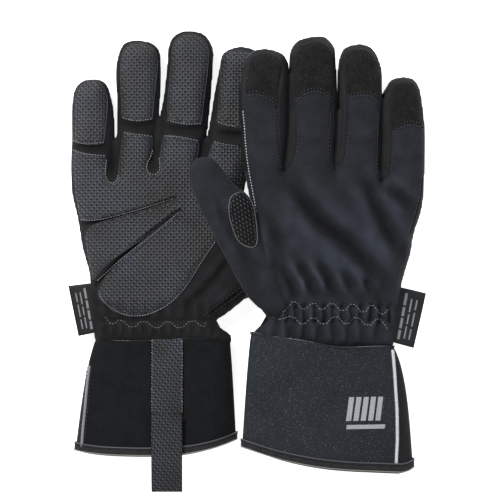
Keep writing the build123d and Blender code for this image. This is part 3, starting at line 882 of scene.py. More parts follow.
    def build_hand(self):
        """Skin of the hand, cut into fingers, wrist and hand."""
        bodies = [dict(outline=grown(smooth(self.outline, 2), self.grow), rim=self.rim,
                       above=self.above, below=self.below, middle=self.middle,
                       relief=self.hand_relief, soft=5)]
        thin = field("0,4.2")
        for web in self.webs:
            bodies.append(dict(outline=web, rim=4.0, above=thin, below=thin,
                               middle=self.middle, soft=1))
        skin = Skin(bodies, self.z_range)
        centres = np.array([skin.verts[list(f)].mean(0) for f in skin.faces])
        # painted shade in the creases and painted highlight on the folds, carried in the relief
        # attribute
        tone = self.hand_painted_shade(skin)
        satin = self.gusset_faces(skin, centres)
        x, y, _ = centres.T
        free = np.ones(len(centres), bool)
        regions = []
        for finger, ((_, crease_y), (x_low, x_high)) in self.fingers.items():
            keep = (y > crease_y - 2.5) & (x > x_low) & (x <= x_high) & free
            free &= ~keep
            regions.append((finger, keep, [finger + "_shell"]))
        wrist = (y < self.wrist_split) & free
        regions.append(("wrist", wrist, ["wrist_elastic"]))
        regions.append(("hand", free & ~wrist, ["back_panel", "palm_panel", "fourchettes",
                                                "lining", "insulation"]))
        for name, keep, replaced in regions:
            faces, used = sub_mesh(skin.faces, keep)
            self.add("skin_" + name, skin.verts[used], faces,
                     ([self.shell, "fourchette_satin"], name, "softshell", *replaced),
                     normals=skin.normals[used], relief=tone[used],
                     material_index=satin[keep].astype(int))
        return skin

    def build_grips(self, skin):
        """Grip patches on the palm face."""
        side = self.palm_side
        for where, outline in self.grips.items():
            part = "palm_grip" if where == "hand" else where + "_grip"
            name = self.palm_name if where == "hand" else part
            outline = smooth(outline, 2)
            ring = self.sheet(name, skin, side, outline, ("grip", where, "grip", part),
                              lift=0.75, step=PATCH_STEP, woven=self.palm_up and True)
            if self.palm_up or where == "hand":
                self.laid_cord(name + "_edge", skin, side, ring,
                               ("raw_edge_dark", where, "grip"), lift=0.35, radius=0.30,
                               sides=5, closed=True)
                self.stitches(name + "_stitch", skin, side, inset(outline, 2.0),
                              ("thread_black", where, "grip"), gap=2.5, length=1.7,
                              radius=0.26, lift=0.85, closed=True)

    def build_caps(self, skin):
        """Fingertip caps on the back face, each with a double row of stitches."""
        side = -self.palm_side
        for finger, outline in self.caps.items():
            self.sheet(finger + "_cap", skin, side, smooth(outline, 2),
                       ("suede_cap", finger, "suede", finger + "_cap"), lift=0.85,
                       step=CAP_STEP,
                       relief=lambda plan: ripple(plan, (0.22, 2.2, 21), (0.3, 6.0, 22)))
            for k, offset in enumerate((1.3, -0.9)):
                arc = self.cap_arcs[finger] + (0, offset)
                self.stitches(f"{finger}_cap_stitch_{k}", skin, side, smooth(arc, 2, False),
                              ("thread_black", finger, "suede"), gap=2.1, length=1.5,
                              radius=0.3, lift=0.8, zigzag=True)

    def build_seams(self, skin):
        for i, line in enumerate(self.stitch_lines):
            self.stitches(f"seam_{i:02d}", skin, 1, smooth(line, 1, False),
                          ("thread_black", "hand", "softshell"), gap=2.4, length=1.6,
                          radius=0.24, lift=0.15)
        # zigzag rows over the wrist elastic, widened in Y about their own middle line
        thread = "thread_dim" if self.palm_up else "thread_grey"
        for i, line in enumerate(self.zigzags):
            line = line.copy()
            middle = (line[:-2, 1] + 2 * line[1:-1, 1] + line[2:, 1]) / 4
            line[1:-1, 1] = middle + 1.45 * (line[1:-1, 1] - middle)
            self.stitches(f"zigzag_{i}", skin, 1, smooth(line, 1, False),
                          (thread, "wrist", "elastic"), gap=2.15, length=1.45, radius=0.30,
                          lift=0.22)
        # sunk seams, drawn as near-black cords: painted shade in their grooves
        for i, line in enumerate(self.creases):
            self.laid_cord(f"crease_{i:02d}", skin, 1,
                           densify(smooth(line, 2, False), 0.8, False),
                           ("seam_crease", "hand", "gusset_cloth"), lift=0.04, radius=0.50,
                           sides=6)
        # pale raw edges
        thread, radius, lift = (("raw_edge_line", 0.29, 0.75) if self.palm_up
                                else ("raw_edge_pale", 0.34, 0.15))
        for i, (where, line) in enumerate(self.pale_edges):
            self.stitches(f"pale_edge_{i:02d}", skin, 1, smooth(line, 1, False),
                          (thread, where, "softshell"), gap=1.75, length=1.15, radius=radius,
                          lift=lift)

    # ------------------------------------------------------------ thumb
    def thumb_relief(self, plan):
        height = ripple(plan, (0.45, 9.0, 31), (0.18, 3.6, 32))
        for fold in self.thumb_folds:
            height = height + valley(plan, fold)
        return height

    def build_thumb(self):
        outline = grown(smooth(self.thumb, 2), 0.5)
        skin = Skin([dict(outline=outline, rim=self.thumb_rim, above=self.thumb_half,
                          below=self.thumb_half, middle=self.thumb_middle,
                          relief=self.thumb_relief, soft=5)], self.z_range)
        plan = skin.verts[:, :2]
        # painted shade in the thumb's creases and painted highlight on its folds, as for the hand
        tone = np.zeros(len(plan))
        for fold in self.thumb_folds:
            tone += valley_painted_shade(plan, fold)
        tone = np.clip(0.5 + (tone + ripple(plan, (0.06, 9.0, 31)))
                       * np.clip(skin.normals[:, 2], 0, 1), 0, 1)
        self.add("thumb_skin", skin.verts, skin.faces,
                 ([self.shell], "thumb", "softshell", "thumb_shell"),
                 normals=skin.normals, relief=tone)
        patch = smooth(self.thumb_patch, 2)
        ring = self.sheet("thumb_grip", skin, 1, patch,
                          ("grip_thumb", "thumb", "grip", "thumb_grip"), lift=0.8,
                          step=THUMB_STEP)
        self.laid_cord("thumb_grip_edge", skin, 1, ring, ("raw_edge", "thumb", "grip"),
                       lift=0.45, radius=0.32, sides=5, closed=True)
        self.stitches("thumb_grip_stitch", skin, 1, inset(patch, 1.6),
                      ("thread_black", "thumb", "grip"), gap=2.2, length=1.5,
                      radius=0.25, lift=0.85, closed=True)

    # ------------------------------------------------------------ cuff
    def cuff_ring(self, inset_mm, along, relief=False):
        """Ring of the cuff, with `along` from 0 at the wrist to 1 at the hem."""
        across = (1 - np.cos(CUFF_ANGLES)) / 2

        def spread(curve):
            curve = smooth(curve, 1, False)
            run = np.concatenate([[0], np.cumsum(np.abs(np.diff(curve[:, 0])))])
            run = run / run[-1]
            return np.column_stack([np.interp(across, run, curve[:, k]) for k in (0, 1)])
        x, y = (spread(self.cuff_top) * (1 - along) + spread(self.cuff_hem) * along).T
        centre = (x.min() + x.max()) / 2
        half_width = (x.max() - x.min()) / 2
        grade = along ** 0.8
        half_height, middle_z = (first + (last - first) * grade
                                 for first, last in (self.cuff_half, self.cuff_middle))
        x = centre + (x - centre) * (1 - inset_mm / half_width)
        hump = math.sin(math.pi * min(1.0, along) ** 0.6)
        x = (x - hump * self.cuff_bulge[0] * np.clip(1 - 2 * across, 0, 1)
             + hump * self.cuff_bulge[1] * np.clip(2 * across - 1, 0, 1))
        x = x + CUFF_GROW * (2 * across - 1)
        sine = np.sin(CUFF_ANGLES)
        steep = np.abs(sine)
        z = middle_z + np.sign(sine) * steep ** 0.82 * (half_height - inset_mm)
        if relief:
            waves = ripple(np.column_stack([x, y]), (0.7, 21.0, 41), (0.25, 8.0, 42))
            z = z + np.sign(sine) * waves * steep * min(1, (1 - along) * 6 + 0.3)
            z = z + (np.where(sine > 0, 1, -1) * steep * 0.9
                     * np.exp(-((along - 0.02) / 0.05) ** 2))
        return np.column_stack([x, y, z])

    def build_cuff_wall(self):
        """Outer skin, inner fleece and the rims that join them."""
        places = np.linspace(0, 1, CUFF_ROWS)
        outer = [self.cuff_ring(0.0, s, relief=True) for s in places]
        inner = [self.cuff_ring(CUFF_WALL, s, relief=True) for s in places]
        verts = np.vstack(outer + inner[::-1])
        rows = 2 * CUFF_ROWS
        faces = tube_faces(rows, CUFF_COLUMNS)
        last = (rows - 1) * CUFF_COLUMNS
        for j in range(CUFF_COLUMNS):
            k = (j + 1) % CUFF_COLUMNS
            faces.append((last + j, last + k, k, j))
        corners = np.array(faces)
        x, y, z = verts[corners].mean(1).T
        # the gusset lies beyond the piping
        pipe_top, pipe_low = (np.interp(y, pipe[::-1, 1], pipe[::-1, 0])
                              for pipe in (self.pipe_top, self.pipe_low))
        pipe_x = np.where(z > self.cuff_middle[0], pipe_top, pipe_low)
        gusset = (x - pipe_x) * self.gusset_sign > 0
        fleece = corners[:, 0] // CUFF_COLUMNS >= CUFF_ROWS - 1
        self.add("cuff_wall", verts, faces,
                 ([self.cuff_cloth, "fleece", "fourchette_satin"], "cuff", "neoprene",
                  "cuff_back_panel", "cuff_palm_panel", "cuff_gusset", "cuff_lining"),
                 material_index=np.where(fleece, 1, np.where(gusset, 2, 0)))
        return Surface(verts, faces, ray_height=120.0)

    def build_cuff_trim(self, cuff):
        """Hem binding and cords, top welt, inner tunnel in fleece painted near black as shade, and
        piping.
        """
        band = np.vstack([self.cuff_ring(-out, s) for out, s in HEM_BAND])
        self.add("cuff_hem_binding", band, tube_faces(len(HEM_BAND), CUFF_COLUMNS),
                 ("binding", "cuff", "binding", "cuff_hem"))
        for name, out, along, radius, material in HEM_CORDS:
            self.cord("hem_" + name, self.cuff_ring(-out, along),
                      (material, "cuff", "binding"), radius=radius, sides=6, closed=True)
        self.cord("cuff_top_welt", self.cuff_ring(-0.25, 0.012),
                  (self.cuff_cloth, "cuff", "neoprene"), radius=0.75, sides=7, closed=True)
        ring = self.cuff_ring(CUFF_WALL, 0.0)
        centre = ring.mean(0)
        rings = [ring] + [centre + (ring - centre) * size + np.array([0, reach, 0])
                          for size, reach in TUNNEL]
        # the tunnel's fleece is painted near black: painted shade of the glove's inside
        self.add("fleece_tunnel", np.vstack(rings), tube_faces(len(rings), CUFF_COLUMNS),
                 ("fleece_deep", "cuff", "fleece"))
        material, radius = (("reflective_dim", 0.95) if self.palm_up
                            else ("reflective", 1.05))
        for k, (pipe, side, replaced) in enumerate(((self.pipe_top, 1, ["cuff_piping"]),
                                                    (self.pipe_low, -1, []))):
            line = densify(pipe, 2.0, False)
            self.laid_cord(f"piping_{k}", cuff, side, line,
                           (material, "cuff", "reflective", *replaced), lift=0.35,
                           radius=radius, sides=9)
            for row, offset in enumerate((-1.7, 1.7)):
                self.stitches(f"piping_stitch_{k}_{row}", cuff, side, line + (offset, 0),
                              ("thread_black", "cuff", "neoprene"), gap=2.6, length=1.7,
                              radius=0.24, lift=0.1)

    def tape(self, name, centre, fit):
        """Woven tape along (y, z) points, thinner at its side edges."""
        centre = smooth(centre, 2, False)
        xs = np.linspace(-TAPE_HALF, TAPE_HALF, 25)
        halves = 0.75 - 0.25 * (np.abs(xs) / TAPE_HALF) ** 6
        top, bottom = [], []
        for y, z in centre:
            for x, half in zip(xs, halves):
                rib = 0.10 * math.sin(y * 3.1) * (abs(x) < 9)
                top.append((self.strap_x + x, y, z + half + rib))
                bottom.append((self.strap_x + x, y, z - half))
        rows, columns = len(centre), len(xs)
        low = rows * columns
        faces = []
        for i in range(rows - 1):
            a, b = i * columns, (i + 1) * columns
            for j in range(columns - 1):
                faces.append((a + j, b + j, b + j + 1, a + j + 1))
                faces.append((low + a + j, low + a + j + 1, low + b + j + 1, low + b + j))
            faces.append((a, low + a, low + b, b))
            a, b = a + columns - 1, b + columns - 1
            faces.append((a, b, low + b, low + a))
        for j in range(columns - 1):
            faces.append((j, j + 1, low + j + 1, low + j))
            a = (rows - 1) * columns + j
            faces.append((a + 1, a, low + a, low + a + 1))
        self.add(name, np.array(top + bottom), faces, fit)

    def build_strap(self, cuff):
        """Strap: a part sewn to the cuff and a free tail."""
        end_y = self.strap_tail[0, 0]
        plan = np.column_stack([np.full(60, self.strap_x),
                                np.linspace(self.strap_start, end_y, 60)])
        side = self.palm_side
        centre = np.column_stack([plan[:, 1], cuff.drop(plan, side) + side * 1.0])
        self.tape("strap_sewn", np.vstack([centre[::4], centre[-1:]]),
                  ("tape", "cuff", "grip", "strap_anchor"))
        self.tape("strap_tail", self.strap_tail, ("tape", "strap_tail", "grip", "strap"))
        if not self.palm_up:
            return
        ys, zs = centre[::-1].T
        # side edges: every fourth stitch is long and thick
        for k, offset in enumerate((-9.75, 9.75)):
            verts, faces = [], []
            x = self.strap_x + offset
            y = ys.max() - 0.8
            count = 0
            while y > ys.min() + 1.5:
                z = np.interp(y, ys, zs) + 0.72
                half, radius = (0.5, 0.34) if count % 4 == 0 else (0.12, 0.24)
                add_stitch(verts, faces, (x - half, y, z), (x + half, y - 1.15, z), radius)
                y -= 1.95
                count += 1
            self.add(f"strap_edge_stitch_{k}", np.array(verts), faces,
                     ("raw_edge_line", "cuff", "grip"))
        for k, y in enumerate((end_y + 1.2, end_y - 0.6)):
            verts, faces = [], []
            z = np.interp(y, ys, zs) + 1.0
            for offset in np.arange(-9.2, 9.3, 2.0):
                x = self.strap_x + offset
                add_stitch(verts, faces, (x - 0.6, y, z), (x + 0.6, y, z), 0.33)
            self.add(f"strap_cross_stitch_{k}", np.array(verts), faces,
                     ("thread_black", "cuff", "grip"))

    # ------------------------------------------------------------ label and print
    def label_plan(self, u, v):
        """Plan point on the label: u from root to free edge, v from fingers to cuff."""
        a, b, c, d = self.label
        return (a * (1 - u) + b * u) * (1 - v) + (d * (1 - u) + c * u) * v

    def label_point(self, u, v, half, lift=0.0):
        x, y = self.label_plan(u, v)
        z = (LABEL_Z + half * (0.6 + math.sin(math.pi * u) * 0.5)
             + 0.5 * math.sin(2.2 * v + 1.2 * u))
        return x, y, z + lift

    def build_label(self):
        """Side label with plain raised bars."""
        cols, rows = 14, 20
        width = cols + 1
        low = (rows + 1) * width
        verts = [self.label_point(j / cols, i / rows, half) for half in (LABEL_HALF, -LABEL_HALF)
                 for i in range(rows + 1) for j in range(width)]
        faces = []
        for i in range(rows):
            for j in range(cols):
                a = i * width + j
                quad = (a, a + 1, a + width + 1, a + width)
                faces.append(quad)
                faces.append(tuple(low + k for k in quad[::-1]))
        border = list(range(width)) + [i * width + cols for i in range(1, rows + 1)]
        border += [rows * width + j for j in range(cols - 1, -1, -1)]
        border += [i * width for i in range(rows - 1, 0, -1)]
        for a, b in zip(border, border[1:] + border[:1]):
            faces.append((a, low + a, low + b, b))
        self.add("label", np.array(verts), faces,
                 ("label_weave", "label_root", "label_cloth", "label"))
        verts, faces = [], []
        for (u0, u1), bars in LABEL_BARS:
            for v0, v1 in bars:
                base = len(verts)
                for u, v in ((u0, v0), (u1, v0), (u1, v1), (u0, v1)):
                    verts += [self.label_point(u, v, LABEL_HALF, lift) for lift in (0.0, 0.22)]
                bottom = [base + k for k in (0, 2, 4, 6)]
                top = [k + 1 for k in bottom]
                faces += [tuple(top), tuple(bottom[::-1])]
                for k in range(4):
                    n = (k + 1) % 4
                    faces.append((bottom[k], bottom[n], top[n], top[k]))
        self.add("label_bars", np.array(verts), faces, ("label_bar", "label", "label_cloth"),
                 flat=True)

    def build_marks(self, cuff):
        """Plain reflective print on the cuff."""
        for k, outline in enumerate(self.marks):
            plan, triangles, _ = patch_mesh(outline, 1.2)
            z = cuff.drop(plan, 1)
            verts = np.vstack([np.column_stack([plan, z + 0.28]),
                               np.column_stack([plan, z - 0.2])])
            self.add(f"cuff_mark_{k}", verts, slab_faces(triangles, len(plan)),
                     ("reflective_print", "cuff", "reflective"), flat=True)

    def build(self):
        skin = self.build_hand()
        self.build_grips(skin)
        self.build_caps(skin)
        self.build_seams(skin)
        self.build_thumb()
        cuff = self.build_cuff_wall()
        self.build_cuff_trim(cuff)
        self.build_strap(cuff)
        self.build_label()
        self.build_marks(cuff)


# ---------------------------------------------------------------- design tables, mm
# fingers: (x, y) of the crease, then the range of x that belongs to the finger
# gather_bands: high y, low y, height, pitch
# cuff_half, cuff_middle: half height and middle height at the wrist and at the hem
# cuff_bulge: swelling towards -X and +X; strap_tail: y,z pairs
LOWER = Glove(
    side="lower", place=world_lower, palm_up=True, palm_name="palm",
    shell="softshell_palm", cuff_cloth="neoprene",
    outline=points("""
    -96.2,-54.6 -99.45,-49.4 -99.78,-44.2 -100.75,-31.2 -101.73,-18.2 -101.73,-13 -102.7,-5.2
    -104.65,1.3 -106.6,7.8 -107.9,14.3 -109.2,24.05 -111.15,33.8 -113.75,43.55 -114.4,53.3
    -114.73,63.05 -114.4,72.8 -113.75,79.3 -114.01,92.3 -113.75,105.3 -112.45,111.8
    -109.2,115.7 -105.3,117.26 -101.4,117.65 -98.15,117.45 -94.9,116.35 -91,111.8 -89.05,105.3
    -87.75,98.8 -87.36,85.8 -87.1,72.8 -87.3,61.75 -86.91,59.15 -86.45,61.75 -86.06,72.8
    -85.54,81.25 -85.41,105.3 -85.48,118.3 -85.15,128.05 -83.85,134.55 -81.9,139.75 -78,142.68
    -70.85,143 -63.7,141.7 -59.15,138.45 -57.52,132.6 -56.88,124.8 -57.33,111.8 -57.85,102.05
    -58.63,93.92 -60.12,79.3 -61.3,68.25 -60.9,65.65 -60.45,68.25 -59.02,79.3 -57.85,93.92
    -56.55,98.8 -55.25,105.3 -53.95,115.05 -52.65,128.05 -52,134.55 -50.7,141.05 -48.75,145.6
    -44.2,148.53 -38.35,149.18 -31.2,148.2 -27.3,145.6 -24.7,141.05 -23.4,136.5 -23.07,128.05
    -24.05,111.8 -25.35,98.8 -26.65,85.8 -28.8,76.05 -30.55,68.9 -30.16,66.3 -29.64,68.9
    -27.95,76.05 -26,83.85 -25.03,89.05 -23.4,98.8 -22.1,108.55 -20.15,118.3 -18.85,124.8
    -17.55,131.3 -15.6,134.88 -11.7,137.47 -4.55,139.1 1.3,137.8 6.17,135.85 8.45,131.3
    9.43,124.8 9.1,105.3 7.15,85.8 3.9,72.8 0,61.1 -1.95,54.6 -3.9,45.5 -4.55,33.8 -3.25,20.8
    0.65,7.8 2.6,-5.2 1.3,-15.6 -0.65,-21.45 -5.2,-25.35 -14.95,-33.15 -22.43,-37.7
    -21.45,-41.6 -17.55,-44.85 -11.7,-48.1 -11.7,-54.6"""),
    webs=lines("""-92.3,81.25 -81.9,81.25 -81.9,58.5 -92.3,58.5;
    -63.7,94.9 -53.95,94.9 -55.25,63.7 -66.3,63.7;
    -31.2,81.9 -22.75,81.9 -26,64.35 -35.1,64.35"""),
    fingers=dict(index=((-9.43, 82.55), (-26.65, 11.05)),
                 middle=((-41.21, 86.45), (-58.5, -24.05)),
                 ring=((-72.02, 88.4), (-87.1, -57.2)),
                 little=((-100.81, 73.45), (-115.7, -86.71))),
    grow=0.95, rim=12.0, z_range=(0, 27), middle_x=-55.25, middle_z=11.0, gusset_y=63.05,
    wrist_split=-24.7, wrist_bend=(-39, -49.4),
    above=field("""150.8,8.6 118.3,9.6 85.8,10.2 59.8,11.0 1.3,11.4 -24.7,10.2 -36.4,8.0
    -42.9,7.4 -54.6,8.0"""),
    below=field("150.8,8.4 85.8,9.3 1.3,10.0 -36.4,8.0 -54.6,8.0"),
    middle=field("150.8,9.3 85.8,10.2 1.3,11.0 -36.4,10.6 -54.6,10.8"),
    back_panels=[], seams=[],
    folds=folds("""
    0.9,1.7 -111.8,24.7 -102.7,24.96 -93.6,27.3 -76.7,31.85 -65.65,34.9 -48.1,41.15;
    1.0,1.9 -44.2,33.28 -57.52,23.53 -68.25,14.3 -84.5,1.3 -98.8,-14.95;
    2.2,1.0 -87.75,72.8 -88.4,63.05 -88.4,52; 2.2,1.0 -59.8,79.3 -61.1,67.6 -61.75,57.2;
    2.2,0.8 -27.95,79.3 -30.55,67.6 -31.85,57.2;
    2.4,1.5 -113.1,76.05 -104,73.78 -89.7,73.45; 2.4,1.5 -85.15,89.7 -71.5,87.75 -58.5,89.05;
    2.4,1.5 -56.55,87.1 -40.95,85.8 -26,85.8; 2.4,1.5 -24.05,84.5 -7.8,81.9 6.5,83.2;
    1.8,1.3 -3.25,-18.2 -18.2,-29.25 -27.95,-37.7;
    2.4,1.2 -7.15,7.8 -21.45,-11.7 -34.45,-24.7 -44.2,-32.5;
    1.6,0.6 -102.7,-24.7 -89.7,-29.25 -76.7,-32.5"""),
    gather_bands=[(-23.4, -39, 1.0, 8.6), (-39.65, -49.4, 1.1, 6.4)],
    gather_lines=[-38.68],
    grips=dict(
        hand=points("""
    -114.01,73.19 -114.01,73.19 -106.6,70.46 -93.47,68.9 -93.08,68.9 -91.98,65 -91.78,61.75
    -93.47,57.85 -92.95,53.69 -89.7,50.83 -85.6,51.74 -83.85,55.05 -84.37,59.15 -83.46,66.3
    -82.16,76.05 -81.51,81.9 -80.73,83.85 -80.21,83.98 -71.95,82.68 -62.79,81.64 -62.4,81.38
    -62.4,75.4 -63.18,68.9 -66.04,63.7 -66.04,59.6 -62.85,56.42 -58.24,57.65 -56.42,61.43
    -57.46,66.3 -56.55,74.1 -55.25,81.25 -54.73,82.29 -48.23,82.29 -40.95,80.6 -32.5,79.17
    -31.98,78.91 -32.11,72.8 -33.15,67.92 -36.01,63.05 -35.75,58.5 -32.5,55.9 -28.28,57.2
    -26.65,61.1 -25.74,68.9 -23.53,75.4 -22.49,77.74 -21.97,77.87 -15.4,76.05 -4.94,74.62
    -0.65,73.45 0.39,71.5 -1.3,61.1 -3.25,52 -5.2,42.9 -10.4,31.2 -15.6,22.1 -20.8,14.3
    -27.95,4.55 -34.45,-5.2 -40.95,-14.95 -47.45,-23.4 -53.95,-28.73 -60.45,-32.11
    -66.95,-34.32 -73.45,-35.36 -79.95,-34.71 -86.45,-32.5 -92.3,-28.28 -96.85,-23.4
    -97.95,-19.18 -95.88,-14.95 -91.98,-9.1 -85.6,-2.21 -79.23,3.77 -71.95,10.53 -65.65,16.25
    -57.33,22.75 -49.4,28.86 -44,33.02 -44.14,33.54 -50.05,29.9 -57.72,24.18 -68.25,15.08
    -79.23,7.8 -88.4,1.43 -94.7,-4.29 -100.36,-11.7 -101.4,-11.44 -103.35,-3.9 -105.3,5.85
    -106.47,14.3 -106.67,19.18 -103.35,22.36 -97.5,25.09 -88.4,27.82 -76.5,31.07 -65.59,34.19
    -53.82,37.96 -47.84,40.82 -47.9,41.47 -53.95,39.26 -65.59,35.62 -76.5,32.63 -88.4,29.64
    -93.6,28.21 -98.41,27.3 -106.6,26.78 -109.85,28.21 -111.15,33.8 -112.78,43.55
    -113.75,53.3 -114.27,63.05"""),
        index=points("""
    -13.65,136.37 -16.38,133.58 -17.81,127.4 -18.2,118.3 -18.46,108.55 -19.5,98.8
    -20.15,91.65 -19.89,90.61 -13,88.27 -6.5,87.23 1.3,87.36 2.6,88.01 5.2,100.1 6.83,115.05
    6.5,128.7 2.6,135.85 -5.2,138.06"""),
        middle=points("""
    -42.9,147.94 -47.12,144.62 -49.27,139.75 -50.05,131.3 -51.09,118.3 -52.26,105.3 -52,93.99
    -51.61,92.95 -46.28,90.74 -37.31,89.31 -30.94,90.61 -30.16,91.13 -28.73,105.3
    -27.3,115.05 -25.8,130 -25.74,139.1 -28.93,144.95 -33.15,147.81 -38.35,148.91"""),
        ring=points("""
    -77.35,141.83 -80.86,138.45 -82.42,133.25 -82.88,124.8 -82.81,111.8 -82.29,102.05
    -82.29,94.64 -81.9,93.73 -77.35,92.04 -70.91,91.13 -63.05,92.69 -62.27,93.21 -61.23,105.3
    -59.8,118.3 -58.5,131.3 -60.77,137.8 -64.67,141.31 -71.17,143"""),
        little=points("""
    -106.6,117.26 -110.89,113.42 -112.97,106.6 -113.49,92.3 -113.75,79.56 -113.49,78.65
    -109.2,76.83 -101.14,75.92 -94.51,77.09 -93.73,77.61 -92.04,92.3 -91.26,105.3
    -92.69,112.12 -96.2,116.61 -101.08,118.17""")),
    creases=[],
    pale_edges=[
        ("little", points("-114.34,79.5 -108.29,76.96 -101.99,76.7 -93.41,77.87")),
        ("hand", points("-114.34,73.19 -108.29,70.66 -101.34,69.61 -92.5,69.1")),
        ("ring", points("-81.77,93.99 -75.47,91.85 -69.1,91.85 -62.14,93.15")),
        ("hand", points("-81.12,84.3 -74.16,83 -67.86,82.61 -62.14,81.64")),
        ("middle", points("-52.65,92.36 -46.35,90.22 -38.8,89.31 -30.23,89.96")),
        ("hand", points("-54.6,82.03 -46.35,81.38 -38.8,80.15 -32.24,78.85")),
        ("index", points("-19.82,91.13 -14.75,88.99 -7.21,87.69")),
        ("hand", points("-22.36,78.2 -14.75,76.31 -5.91,75.08")),
        ("hand", points("-91.85,66.82 -92.89,60.52 -91.85,52.91 -88.73,50.96 -85.54,52.33"
                        " -84.3,56.75")),
        ("hand", points("-62.14,73.19 -62.79,69.35 -65.98,63.7 -65.33,57.98 -60.9,56.49"
                        " -57.72,58.63 -57.14,63.7 -57.98,68.12")),
        ("hand", points("-109.2,27.62 -99.45,26.71 -84.3,30.16 -66.56,35.23 -48.75,41.21")),
        ("hand", points("-98.15,-12.35 -80.47,3.64 -61.55,17.55 -44.85,32.37")),
        ("hand", points("-96.85,-20.15 -93.15,-26.65 -84.3,-33.02 -75.4,-35.49 -64.09,-34.32"
                        " -51.41,-27.95 -41.34,-17.81 -28.66,2.4 -21.06,13.13"))],
    caps=dict(
        index=points("""
    -14.3,134.88 -17.55,130 -18.85,118.3 -20.15,108.55 -11.7,111.15 -5.2,111.8 2.6,109.85
    6.5,106.6 7.15,118.3 5.85,130 1.3,134.88 -5.2,136.83"""),
        middle=points("""
    -43.55,146.25 -48.75,140.4 -50.7,128.05 -52.65,114.4 -45.5,117.65 -39,118.3 -31.2,117
    -26,113.1 -24.7,131.3 -26,139.1 -29.25,144.3 -37.7,147.22"""),
        ring=points("""
    -77.35,140.4 -81.9,134.55 -83.2,121.55 -83.85,108.55 -78,112.45 -71.5,113.75 -65,112.45
    -59.8,109.2 -58.83,121.55 -59.8,133.25 -65.65,140.4 -71.5,141.38"""),
        little=points("""
    -107.25,114.4 -111.15,108.55 -112.12,98.8 -112.45,85.8 -107.25,89.7 -101.4,91
    -95.55,89.7 -90.35,85.8 -89.7,98.8 -91.65,108.55 -97.5,115.38 -102.7,115.7""")),
    cap_arcs=dict(
        index=points("-20.15,107.25 -11.7,109.85 -5.2,110.5 2.6,108.55 6.5,105.95"),
        middle=points("-52.65,113.1 -45.5,116.35 -39,117 -31.2,115.7 -26,112.45"),
        ring=points("-83.85,107.9 -78,111.15 -71.5,112.45 -65,111.15 -59.8,107.9"),
        little=points("-112.45,84.5 -107.25,88.4 -101.4,89.7 -95.55,88.4 -90.35,84.5")),
    stitch_lines=lines("""
    -109.85,30.23 -99.45,28.28 -89.7,30.23 -73.45,34.77 -63.7,37.05 -50.7,41.6;
    -3.25,-18.85 -18.2,-29.9 -26,-35.75; -4.55,-16.25 -19.5,-27.3 -29.25,-35.1"""),
    zigzags=lines("""
    -93.34,-35.36 -88.4,-40.69 -82.88,-37.5 -75.6,-42.9 -67.86,-38.35 -59.15,-43.42
    -52.33,-38.35 -44.59,-43.42 -36.4,-37.96 -29.12,-42.05 -27.3,-39"""),
    thumb=points("""
    21.45,58.5 15.6,55.9 11.7,49.4 6.5,40.3 1.3,28.6 -5.2,14.3 -11.7,0 -16.9,-13 -14.3,-23.4
    -5.2,-24.7 2.6,-22.1 9.1,-14.3 15.6,0 22.1,15.6 27.3,31.2 31.2,42.9 29.9,52 26.65,56.55"""),
    thumb_rim=9.0, thumb_half=field("0,6.4"), thumb_middle=field("0,7.6"),
    thumb_bend=((-13, -13), (-2.6, 11.05)), thumb_folds=[],
    thumb_patch=points("""
    -2.6,31.2 1.3,36.4 6.5,35.1 9.1,27.3 6.5,16.9 1.3,10.4 -3.25,11.7 -4.55,20.8"""),
    cuff_bulge=(2.7, 0.5), cuff_half=(8.6, 13.2), cuff_middle=(10.2, 14.0), gusset_sign=-1,
    cuff_top=points("""
    -97.5,-49.08 -92.95,-50.05 -83.2,-51.35 -63.7,-51.02 -42.25,-49.73 -31.2,-50.05
    -21.45,-49.4 -13,-47.45"""),
    cuff_hem=points("""
    -111.8,-121.88 -105.95,-122.98 -96.2,-124.15 -83.2,-124.8 -63.7,-125.06 -42.25,-124.15
    -27.95,-121.55 -18.2,-118.69 -8.45,-114.79"""),
    pipe_top=points("""
    -103.22,-67.6 -104.26,-75.4 -105.17,-84.5 -106.08,-96.2 -107.25,-107.9 -108.16,-120.25"""),
    pipe_low=points("-94.25,-53.95 -96.2,-76.7 -98.15,-96.2 -99.45,-119.6"),
    strap_x=-52.52, strap_start=-50.05,
    strap_tail=points("""
    -98.8,29.0 -105.95,29.2 -115.7,29.6 -125.45,30.2 -135.2,29.4 -148.85,26.5"""),
    label=points("-99.45,-13.39 -117.39,-15.6 -110.76,-48.49 -94.25,-44.85"),
    marks=[],
)

# seams of the back: two beside each gap between fingers, then one by each side of the hand
UPPER_SEAMS = lines("""
    -98.86,127.4 -100.19,121.55 -102.18,111.8 -102.85,102.05 -103.51,89.05 -102.85,76.05
    -100.85,66.3 -98.2,59.8;
    -90.22,131.3 -91.22,121.55 -91.22,108.55 -90.89,95.55 -89.89,82.55 -90.55,72.8 -92.22,65
    -96.87,59.15;
    -64.97,131.3 -65.63,111.8 -66.3,102.05 -66.96,89.05 -67.63,76.05 -66.63,66.3 -63.64,60.77;
    -57,130 -57,121.55 -56.33,108.55 -56.33,95.55 -57,82.55 -58.32,69.55 -60.32,63.05
    -62.98,60.77;
    -32.41,105.3 -33.07,95.55 -34.4,82.55 -35.73,69.55 -35.4,59.8 -33.07,53.3;
    -27.09,105.3 -27.09,82.55 -26.76,72.8 -27.76,63.05 -29.09,56.55 -31.74,52.65;
    -5.16,55.25 -6.49,43.55 -8.82,35.75 -11.48,26 -14.47,19.5;
    -114.81,3.9 -110.82,-5.2 -106.83,-14.95 -103.51,-22.75 -100.19,-29.9 -97.53,-32.5""")
